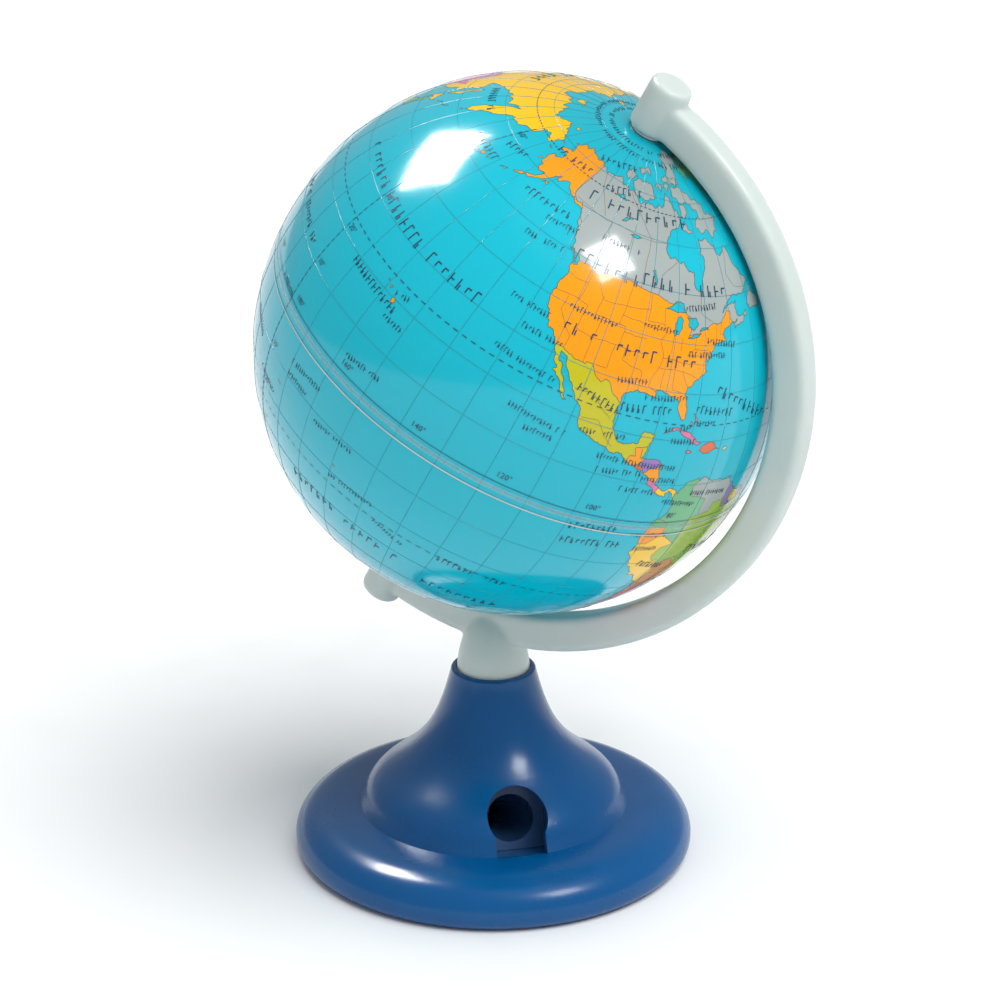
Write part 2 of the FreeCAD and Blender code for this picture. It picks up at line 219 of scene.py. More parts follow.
# ---- arm ----
# One milky, faintly green half ring with a boss at each pole and a domed stem, injection moulded.
# Light sinks a little way into it, so its edges and corners stay soft.

def soft_moulding(node, grain, rounds):
    """A node's shape with every corner rounded off, as a soft plastic comes out of its mould."""
    source = bpy.data.objects.new(node + "_source", smooth_copy(node))
    bpy.context.scene.collection.objects.link(source)
    grid = source.modifiers.new("grain", "REMESH")
    grid.mode = "VOXEL"
    grid.voxel_size = grain
    grid.use_smooth_shade = True
    polish = source.modifiers.new("polish", "SMOOTH")
    polish.factor = 0.5
    polish.iterations = rounds
    ready = source.evaluated_get(bpy.context.evaluated_depsgraph_get())
    mesh = bpy.data.meshes.new_from_object(ready)
    bpy.data.objects.remove(source)
    return mesh


milky = moulded("milky_plastic", shade(206, 215, 211), shade(178, 197, 193), 0.5, 0.34, peel=0.03,
                Subsurface_Weight=0.5, Subsurface_Scale=2.4 * MM, Specular_IOR_Level=0.45)
milky.node_tree.nodes["Principled BSDF"].inputs["Subsurface Radius"].default_value = (1.0, 1.15, 1.12)
arm_mesh = soft_moulding("meridian_arm", 0.32 * MM, 14)
finished("arm_moulding", arm_mesh, milky, "arm", "meridian_arm", slot="arm_milky")


# ---- stem screw and washer, pole pins ----
# Zinc-plated pan-head screw with a cross recess that draws the stem down onto its washer.
# The two pins are bright drawn wire, pressed into the bosses and running in the globe's eyelets.

for node, material in (("stem_screw", zinc_plate), ("stem_washer", zinc_plate),
                       ("pole_pin_north", ground_steel), ("pole_pin_south", ground_steel)):
    slot_name = "pin_steel" if "pin" in node else "screw_steel"
    finished(node + "_bright", smooth_copy(node), material, "arm", node, slot=slot_name)


# ---- globe: its two printed half shells ----
# Two blow-moulded half balls, joined at the equator, each covered with its half of a printed map.
# The map is built flat, as rings round each pole, and cut along its coasts and borders.

spin = joints["globe_spin"]
ball_centre = Vector(spin["pos_m"])
pole = Vector(spin["axis"]).normalized()
BALL_R = 42.5 * MM
SHELL_T = 1.2 * MM
INNER_R = BALL_R - SHELL_T
SEAM_BAND = 0.85 * MM
POLE_HOLE_R = 1.65 * MM
east = Vector((math.cos(math.atan2(pole.y, pole.x)), math.sin(math.atan2(pole.y, pole.x)), 0))
lean_side = (east - pole * east.dot(pole)).normalized()
GLOBE_TURN = math.radians(52.0)
first_meridian = Matrix.Rotation(GLOBE_TURN, 3, pole) @ lean_side
to_ball = Matrix((first_meridian, pole.cross(first_meridian), pole)).transposed().to_4x4()
to_ball.translation = ball_centre


def on_ball(lon, lat, height=0.0, side=None):
    """A place on the printed ball, poles on Z and the first meridian on X, before it is set in its arm."""
    side = side or (1 if lat > 0 else -1)
    lon, lat = math.radians(lon), math.radians(lat)
    out = Vector((math.cos(lat) * math.cos(lon), math.cos(lat) * math.sin(lon), math.sin(lat)))
    return out * (BALL_R + height) + Vector((0, 0, side * SEAM_BAND))


LAND = {
    "north_america": """-168.1 65.6 -163.8 66.5 -161.9 66.3 -163.7 67.6 -166.8 68.3 -163.9 69.1 -161.9
    70.3 -156.6 71.3 -151.7 70.5 -146 70.2 -141 69.6 -136.5 69 -134.5 69.6 -130 70 -127.5 70.4 -124.5
    70.1 -124.4 69.4 -120.5 69.6 -115.5 68.9 -114 68.3 -108 67.6 -107.6 66.6 -106.5 67.9 -104 68 -97.6
    67.7 -96.2 68.3 -95.6 69.8 -94.5 71.8 -92.3 71 -92 69.7 -90.5 69.2 -90.3 68.4 -87.9 68.2 -87.5 67.3
    -86 66.4 -85.2 67.9 -85.5 69.8 -82.5 69.7 -81.3 68.7 -81.3 67.5 -83.6 66.3 -86.7 66.4 -87 65.3
    -88.3 64.1 -90.8 63.5 -93 62.3 -94.6 60.5 -94.7 58.9 -92.5 57 -89 56.8 -85 55.3 -82.3 55.1 -82.2 53
    -80.5 51.2 -79 51.5 -78.7 54 -77 56.2 -76.8 58 -78.5 58.8 -77.5 60 -78 62.3 -74.5 62.3 -72 61.5
    -69.6 60.9 -69.5 59 -67.8 58.4 -65.5 59.3 -64.5 60.3 -62 57.8 -60 55.5 -57 53.5 -55.8 52.2 -58.8
    51.2 -62 50.2 -66.5 50.2 -69 48.6 -71 46.9 -68.5 48.4 -64.5 49.1 -65.3 47.8 -64.8 46.8 -64 45.9
    -61.5 45.7 -60.5 46.9 -59.9 45.9 -63.5 44.5 -65.8 43.5 -66.1 44.4 -64.6 45.4 -66.8 45 -68.5 44.3
    -70.3 43.6 -70.8 42.6 -70 41.8 -71.5 41.4 -73.8 40.9 -74 40.2 -74.9 39 -75.5 39.5 -75.1 38.4 -76
    37.1 -76.3 39 -76.5 37 -75.7 35.4 -76.6 34.7 -77.9 33.9 -79.2 33.2 -81 31.9 -81.4 30.4 -80.5 28.3
    -80.1 26.8 -80.4 25.2 -81.2 25.2 -81.8 26.2 -82.7 27.7 -82.7 28.9 -84 30 -85.3 29.7 -87.2 30.4
    -89.4 30.3 -89.1 29.1 -90.3 29.2 -92.2 29.5 -93.9 29.7 -95.1 29 -97.1 27.9 -97.2 26 -97.7 24.3
    -97.8 22.3 -97.2 20.7 -96.2 19.3 -94.8 18.3 -92.8 18.5 -91 18.7 -90.5 19.9 -90.3 21 -88.3 21.6
    -86.9 21.4 -87.5 19.6 -88 18.4 -88.3 16.9 -88.9 15.9 -87.5 15.8 -85 16 -83.3 15 -83.5 13 -83.7 11
    -82.5 9.5 -81 8.8 -79.6 9.5 -78 9.4 -77.3 8.5 -77.9 7.2 -78.3 8.2 -79.5 8.9 -80.4 8.2 -80.2 7.4
    -81.6 7.6 -82.9 8.2 -83.6 8.5 -84.7 9.7 -85.8 10.1 -85.7 11.1 -87.6 12.9 -89.5 13.4 -91.5 14 -93
    15.2 -94.7 16.2 -96.5 15.7 -99 16.7 -101.8 17.7 -103.5 18.3 -105.5 19.7 -105.4 21.5 -106.5 23.3
    -108.5 25.3 -109.4 26.5 -110.6 27.5 -112.3 29.3 -113.2 31.2 -114.8 31.7 -114.6 30 -113 28.5 -111.5
    26.3 -110.6 24.6 -109.5 23.1 -110.2 23 -111.8 24.6 -112.2 26 -113.8 26.8 -115 27.8 -114.2 28.3
    -115.7 29.8 -116.6 31.5 -117.2 32.6 -118.5 34 -120.6 34.6 -121.9 36.6 -122.5 37.8 -123.8 39.2
    -124.3 40.4 -124.1 42 -124.5 42.9 -124 44.7 -123.9 46.2 -124.7 48.3 -122.8 48.2 -123.1 49.2 -125
    50.2 -127.5 51 -128 52.3 -130 54 -130.4 55 -131.9 56.2 -133.7 58 -135.3 58.6 -137 58.6 -139.7 59.6
    -143.5 60 -146 60.9 -148.3 60.8 -149.7 59.8 -151.8 59.2 -151 61 -153.2 60 -154.2 58.4 -156.8 57
    -158.8 56 -161.5 55.2 -163.2 54.8 -164.8 54.6 -162 55.8 -160 56.3 -157.8 57.6 -157.2 58.8 -158.8
    58.5 -161.9 58.7 -162 59.8 -164.5 60.3 -165.7 61.6 -164.8 63 -161 63.6 -161 64.6 -164.5 64.5 -166.5
    64.6""",
    "south_america": """-77.3 8.5 -76.8 8 -75.6 10.6 -74.9 11.1 -72.2 12 -71.5 11 -70 12 -68.3 11 -66
    10.6 -62 10.7 -60.5 9 -57 6 -54 5.9 -51.7 4.2 -50 1.5 -50 -0.5 -48 -0.7 -44.5 -2.8 -41 -2.9 -37.5
    -4.6 -35.2 -6 -34.9 -8.2 -37 -11 -38.9 -13 -39.2 -17.5 -41 -22 -44.5 -23.1 -48.5 -25.8 -48.7 -28.3
    -52.3 -33 -54.9 -34.9 -57.5 -34.4 -58.3 -34.2 -57.2 -36 -57.7 -38 -62 -39 -62.3 -41 -65 -41 -64
    -42.5 -65.4 -45 -67.5 -46.2 -65.8 -47.5 -68 -50 -69 -51.8 -68.3 -53 -65.2 -54.8 -69 -55.4 -72 -54
    -74 -52 -75.5 -49 -75.5 -46.8 -73.2 -43 -73.8 -41 -73.4 -37.5 -71.6 -33.5 -71.5 -29.5 -70.4 -24
    -70.3 -18.4 -72.2 -17 -76.2 -14 -77.3 -11.8 -79.5 -8 -81.2 -5.8 -80.3 -3.3 -80.9 -1.5 -80 0.8 -78.8
    1.6 -77.3 4 -77.5 5.8 -77.9 7.2""",
    "eurasia": """190.2 66.1 185.5 67 181 68.8 176 69.7 170.5 69.9 161 69.5 159.5 70.5 152 70.9 146
    72.3 140.5 72.5 137.5 71.4 131 71 127 73.2 119 73 113.5 73.6 113 75.8 104.3 77.7 98 76.2 87 75.1 81
    73.5 80.5 72 77.5 72.2 74.5 72.8 73.5 68.5 72.7 71 69.5 73 67 70.8 66.9 69.3 68.5 68.3 64.5 69.2
    60.5 69.7 54 68.5 48 67.6 44 66.3 40 64.6 37 64 34.8 64.5 33 66.7 41 66.5 40 68 33 69.4 28.5 70.8
    22 70.3 18 69.3 14.5 67.5 12 65 10 63.8 5.3 62 5 60 6 58.2 8 58 10.7 59.2 11.4 58.8 12.8 55.6 14.3
    55.5 16.5 56.8 18.5 59.5 17.3 61 18 62.7 21.5 64.5 22.5 65.7 25.3 65.1 21.4 62 21.5 60.8 23 59.9 28
    60.4 30 59.9 28 59.4 23.5 59.1 24.3 57.5 21.5 57.4 21 55.3 19.5 54.4 14.2 53.9 11 54 10.8 56 10.5
    57.5 8.2 57 8.5 54 7 53.5 4.7 52.8 3.5 51.4 1.6 50.6 -1.3 49.4 -1.5 48.6 -4.7 48.5 -2.5 47.3 -1.2
    45.5 -1.7 43.4 -8 43.7 -9.3 43 -8.9 40 -9.4 38.7 -9 37 -6.5 37 -5.6 36 -2 36.8 -0.5 38 -0.2 39.5
    3.2 42 3.5 43.3 6.5 43.2 8.8 44.4 10.3 43.5 12.3 41.7 15.7 40 16 38 17 38.9 16.8 40.3 18.4 40 15.8
    41.8 13.5 43.6 12.3 45.3 13.7 45.6 14.5 45.2 16 43.5 19.3 41.9 19.5 40.2 21.3 37.8 22.9 36.5 24
    37.7 23 40.3 26 40.8 29 41.1 26.2 39.4 27.3 37 30.5 36.6 34 36.2 36 36.5 35.8 35 34.9 32 34.2 31.3
    34.9 29.5 35 28.1 37 25 39 21.5 42.5 16.5 43.4 12.7 45 12.9 52 15.6 55.3 17.5 59.8 22.4 56.5 24.5
    56.3 26.2 54 24.2 51.5 24.5 51.3 26 50 26.5 48 30 50.5 29.8 51.5 27.8 56 27 57.3 25.7 61.6 25.2
    66.7 25 68.5 23.5 69.2 22.3 72.5 21.3 72.8 19 74.8 13 77.5 8.1 79.9 10.3 80.3 13 80.5 15.5 84.5
    18.8 87 21.5 90.5 22.3 92 21 94.3 18 94.5 16 97.2 16.7 98.6 12 98.3 8 100.3 5.5 101.3 2.9 103.6 1.4
    104.2 1.4 103.4 4.5 102 6.3 99.3 9.3 99.9 12 100.8 13.4 102.8 11.8 104.9 9 106.7 10.4 109.2 11.8
    109 14 106.3 18 105.8 19.2 108 21.5 110.5 21.3 113.5 22.2 117 23.4 119.7 26 121.8 29.5 121.2 32
    119.3 35 122.5 37.2 118.8 37.6 118 39 121.5 40.7 121.3 39 124.5 39.9 125.2 38 126.7 37.3 126.3 34.6
    129.2 35.3 129.3 37.2 127.5 39.5 130.5 42.3 133 42.8 136.5 45 140.3 48.5 141 52.5 138 53.9 135.5
    54.8 140 58 143 59.3 149 59.6 155 59.3 160.2 61.8 156.8 57.8 155.5 55 156.5 51.1 158.5 52.8 162
    56.2 163.2 58 164.5 59.8 170.3 60 174 61.7 177.5 62.5 177.5 64.7 181 64.9 187 64.4 186.5 65.5""",
    "africa": """-5.6 35.8 -2 35.1 3 36.8 10 37.3 11 35.5 10.2 34 15 32.3 19.5 30.4 21.5 32.8 25 31.6
    29 30.9 32.3 31.2 34.2 31.3 34.9 29.5 34.2 27.8 32.6 29.9 34.2 27 35.5 24 37.3 21 38.5 18 41.2 14.8
    43.2 12 44.3 10.5 51.2 11.8 48 4.5 42.5 -0.5 40.2 -2.7 38.8 -6.5 40.6 -10.7 40.6 -15 35 -19.8 35.5
    -23.8 32.8 -26 31 -29.8 27 -33.5 20 -34.8 18.3 -34 17.8 -31.5 15 -27 14.4 -22.5 11.8 -17 13.7 -12
    13 -8.8 12.2 -6 9.3 -2 9.5 1 9.7 4 6 4.3 4 6.4 1 5.9 -3 5 -7.7 4.4 -11.5 6.8 -13.3 9 -15 11 -17.4
    14.7 -16.3 18 -17 21 -14.8 25 -13 27.8 -9.8 30 -9.3 32.5 -6.8 34""",
    "australia": """114 -22 113.5 -26 115.7 -32 115 -34.3 118 -35 123.5 -34 126 -32.3 131 -31.5 135.5
    -34.8 137.7 -33 138.2 -35.5 140.5 -38 143.5 -38.8 146.3 -39 150 -37.4 151.5 -33 153.5 -28.5 152.8
    -25 149 -20.8 146 -19 145.3 -15 142.5 -10.8 141.6 -14 140.8 -17.5 137 -16 135.5 -15 136.8 -12.2
    132.5 -11.3 130.5 -12.7 129 -15 125 -15 122.2 -18.2 119 -20""",
    "antarctica": """-57 -63.3 -62 -66 -65 -70 -62 -74 -76 -77 -60 -76.5 -35 -78 -25 -75 -12 -71.5 0
    -70 15 -69.8 35 -69 50 -66.8 57 -67 70 -70 75 -69.5 82 -67 100 -65.5 112 -66.5 130 -66 145 -67 160
    -69.5 170 -72 165 -77.5 180 -78.3 200 -78.3 205 -76.5 215 -74.8 230 -74.3 250 -75 258 -72.5 270 -73
    285 -73.5 292 -70 295 -66 300 -63.5""",
    "greenland": """-73 78.2 -68 76.1 -60 75.8 -57 74.3 -55 71.5 -51 69.8 -53.5 68 -53.5 66.2 -51.5
    63.9 -49.5 61.8 -45.5 60.2 -43.2 60 -42 62.5 -40.5 64.8 -36 66 -32 68.1 -22.5 70.5 -22 73 -19.5 75
    -20 78 -17.5 80 -12.2 81.4 -22 82.5 -33 83.5 -45 82.8 -55 82 -62 81.5 -66 80""",
    "baffin": """-80 73.7 -76 72.6 -71 71 -67.5 69.5 -68 67.8 -62.5 67 -61.8 66.2 -64.5 63.5 -68 62.4
    -72 64 -78 64.8 -73.5 66.8 -73 68.2 -78 69.9 -85 70 -89 71.2 -89.5 73.5 -85 73.6""",
    "victoria": "-117 70 -112 68.6 -105 69.2 -101.8 69.7 -105 72.8 -108.5 73 -113 72.8 -118.5 71.6",
    "banks": "-125 72 -123 71.2 -117.5 73.2 -115.5 73.4 -121 74.5 -124.7 73.8",
    "ellesmere": "-90 76.5 -80 76.2 -76 79 -64 81.8 -62 82.5 -70 83.1 -85 82.3 -92 81.2 -87 79.5",
    "devon": "-96 75.3 -91.8 76.6 -80 75.6 -80.5 74.6 -92 74.7",
    "axel": "-96 80 -88 80.3 -87 78.4 -94 78.5",
    "prince": "-102 72.5 -97 71.7 -97 73.8 -101 73.8",
    "somerset": "-95 74 -90.5 73.9 -92.5 72.3 -95.6 72.8",
    "melville": "-117 75.6 -113 76.3 -106 75.9 -105.8 75 -113 74.5",
    "southampton": "-87 63.7 -80.2 63.8 -84.5 65.9",
    "newfoundland": "-59.3 47.8 -55.6 46.9 -53 46.7 -53.3 48.6 -55.8 50 -56 51.5 -57.8 49.5",
    "vancouver": "-128.2 50.7 -125.2 49.8 -123.5 48.5 -124.9 48.8",
    "haida": "-133 54 -131.8 53.9 -131.2 52.2",
    "iceland": "-24 65.5 -22 66.4 -16 66.5 -13.6 65 -18.5 63.4 -22.6 63.9",
    "svalbard": "13 78 11 79.6 20 80.3 27 80 22 78.3 16.8 76.7",
    "novaya": "52 71 55 73 57 75.2 68 76.8 60 75.2 57 71 54.5 70.7",
    "severnaya": "95 79 97 81 104 79.3 100 78.2",
    "franz": "47 80.3 58 81.5 62 81 56 80",
    "new_siberia": "138 75.5 146 75.5 150 75 142 73.6",
    "wrangel": "178.8 71 181 71.5 182.5 71.1 180 70.8",
    "cuba": "-84.9 21.9 -83 23 -80.5 23.1 -77 21.7 -74.2 20.2 -77.7 19.9 -77.2 20.6 -79.5 21.6 -82.5 22.6",
    "hispaniola": "-74.4 18.4 -73.2 19.9 -69.9 19.7 -68.4 18.5 -70.5 18.3 -71.6 17.7",
    "jamaica": "-78.3 18.3 -76.3 18.2 -77.2 17.8",
    "puerto_rico": "-67.2 18.5 -65.6 18.4 -66.5 17.9",
    "trinidad": "-61.9 10.7 -61 10.7 -61.2 10.1",
    "bahamas": "-78 26.7 -77.2 26.5 -76.2 24.7 -77.4 25.8",
    "andros": "-78.3 25 -77.6 24.6 -77.8 23.9",
    "hawaii": "-156 20.2 -155 19.9 -155.2 19.2 -155.9 19",
    "oahu": "-158.4 21.6 -157.6 21.5 -158 21.1",
    "kauai": "-159.9 22.2 -159.2 22.2 -159.5 21.8",
    "galapagos": "-91.5 -0.2 -90.8 -0.3 -91.2 -1",
    "kodiak": "-154.5 57.3 -152.5 58.2 -152.3 57.4",
    "st_lawrence": "-171.8 63.5 -169 63.3 -170.5 63",
    "nunivak": "-167 60.2 -165.6 60.2 -166 59.8",
    "unalaska": "-168.8 53 -166.3 54 -166.8 53.3",
    "atka": "-175.5 52.2 -174 52.4 -174.5 51.9",
    "adak": "-178.3 51.7 -176.4 52.1 -176.8 51.6",
    "attu": "172.6 53 173.7 53 173 52.6",
    "paramushir": "155.2 50.2 156.4 50.8 156 50",
    "iturup": "146.8 44.6 149 46 147.6 44.8",
    "urup": "149.5 46 152.5 47.6 151 46.3",
    "honshu": """131 34 133 35.5 136 35.8 137.3 37.4 139.5 38.5 140 40.5 141.5 41.4 142 39.5 140.9 37.5
    140.8 35.7 138.5 34.7 136 33.5 135 34.6""",
    "kyushu": "130 33.3 131.8 33.5 131.4 31.4 130.3 31.2",
    "shikoku": "132.5 33.7 134.6 34.2 134 33.3 132.8 32.8",
    "hokkaido": "140 41.5 140.5 43.3 141.8 45.4 145.4 43.4 143.2 42 141 42.4",
    "sakhalin": "142 46 142 53.5 143 54.3 143.5 50 144.5 49 142.8 47",
    "taiwan": "120.1 23 121.5 25.2 120.9 22",
    "hainan": "108.7 19.3 110.8 20 109.6 18.2",
    "luzon": "120.5 18.5 122.2 18.4 121.6 15.5 124 13 120.8 13.8 120 15.5",
    "mindanao": "122 7 125.5 5.8 126.5 7.5 125.5 9.7 123.5 8.6",
    "visayas": "122 11.8 125 12.4 124.8 10.2 122.8 9.4",
    "palawan": "117.3 8.5 119.5 11.3 119.2 10",
    "borneo": """109 1.8 111.3 2.5 113.5 3.8 116.8 7 119.2 5.2 117.6 3.5 118 1 116.5 -1.5 116 -4 111.8
    -3.4 110 -1.5""",
    "sumatra": "95.3 5.6 98.5 4 101.5 2 104 -1 106 -3 105.8 -5.8 102.3 -4 100 -1 97.5 2",
    "java": "105.3 -6.7 108.5 -6.7 112.6 -6.9 114.4 -7.8 114.4 -8.6 108 -7.8",
    "sulawesi": """119.5 -5.5 119.3 -3 120 0.8 124.8 1.5 121 0.4 121.3 -1 123.3 -0.9 121.5 -2 122.8
    -4.5 121 -2.8 120.4 -5.5""",
    "timor": "123.5 -10.3 127 -8.4 125 -9.4",
    "flores": "119 -8.5 122.8 -8.3 121 -8.9",
    "halmahera": "127.5 0.5 128 2.1 128.6 0.8 128 -0.6",
    "seram": "128 -3.2 130.7 -3.1 129 -3.6",
    "new_guinea": """131 -0.8 134.2 -0.9 135 -3.3 141 -2.6 145.8 -5 148 -8 150.7 -10.4 147 -9.8 144
    -7.7 142.5 -9.2 138 -8.3 138 -5.5 133 -4 132.3 -2.8""",
    "new_britain": "148.5 -5.8 152 -4.2 151.5 -5.8 149.5 -6.3",
    "solomons": "155 -6 157.5 -7.6 160.5 -9 161.5 -10.3 158.5 -8.6",
    "new_caledonia": "164 -20.1 167 -22.2 165.5 -21.6",
    "vanuatu": "166.6 -14.8 168.3 -16.5 167.2 -16.2",
    "fiji": "177.3 -17.6 178.7 -17.6 178 -18.4",
    "samoa": "-172.8 -13.4 -171.4 -13.9 -172.5 -13.9",
    "tahiti": "-149.8 -17.4 -149.1 -17.8 -149.6 -17.9",
    "sri_lanka": "79.8 8 80.3 9.8 81.8 7.5 80.5 6",
    "madagascar": "49.3 -12 50.3 -15.5 47.5 -24.8 45.5 -25.5 43.5 -22 44.3 -16.5 47 -15.3",
    "tasmania": "144.8 -40.8 148.3 -40.9 147.5 -43.3 146 -43.5",
    "new_zealand_north": "173 -34.5 175.5 -36.5 178.4 -37.8 177 -39.5 175.2 -41.6 173.8 -39.3 174.8 -38",
    "new_zealand_south": "172.7 -40.6 174.2 -41.8 171.3 -44.2 170.5 -46 168.5 -46.6 166.6 -45.8 170.5 -43",
    "great_britain": """-5.5 50.1 1.3 51.2 1.7 52.7 0.2 53 -1.6 55 -3 56 -2 57.6 -5 58.6 -6 56.6 -5
    54.8 -3 54 -4.5 53.2 -5.2 51.8 -3 51.4""",
    "ireland": "-10 51.7 -6.4 52.2 -6 54.5 -8.3 55.2 -10 54",
    "sicily": "12.5 38 15.6 38.2 15.1 36.7",
    "sardinia": "8.3 40.9 9.7 40.8 9 39",
    "corsica": "8.6 42.3 9.4 43 9.3 41.5",
    "crete": "23.6 35.5 26.3 35.2 24.6 34.9",
    "cyprus": "32.4 35 34.5 35.6 33 34.7",
    "falklands": "-61 -51.8 -58 -51.5 -60 -52.2",
}

LAKES = {
    "superior": "-92 46.8 -88.5 48.6 -86 48.4 -84.7 46.6 -87.5 46.5 -90 46.8",
    "michigan": "-87.6 41.7 -86.3 42.2 -85.5 45 -86.9 45.8 -87.8 44.4",
    "huron": "-84.3 45.9 -81.2 45.8 -80.1 44.6 -81.7 43.3 -83.4 43.9 -83.4 45.1",
    "erie": "-83.3 41.7 -81 42.6 -78.9 42.8 -80.5 42",
    "ontario": "-79.6 43.2 -76.4 43.5 -76.7 44.1 -79.1 43.8",
    "great_bear": "-124.5 66 -118 65.8 -120.5 67",
    "great_slave": "-116.8 61.1 -110 62.7 -114 62.3",
    "athabasca": "-111 59.1 -106 59.3 -109 59.6",
    "winnipeg": "-96.5 50.6 -97.5 52 -99 53.5 -98 53.8 -96.6 52",
    "caspian": "47 45 51 46.9 53 45.2 51.2 44.4 53 41.5 53.9 39 53.8 37 49.5 37.5 49.4 40.3 47.8 42.8",
    "black_sea": """28.5 41.5 28 43.5 30.5 46 33 46 33.5 44.6 36.5 45.3 39 47.1 37.8 45 41.5 42.4 41
    41.2 38 41 35 42""",
    "aral": "58.5 44 61.5 44.5 60.5 46.5 59 46",
    "baikal": "104 51.6 107 52.4 109.8 55.6 108 53.6",
    "victoria_lake": "32 0.4 34 0 33.5 -2.4 31.8 -1.8",
}

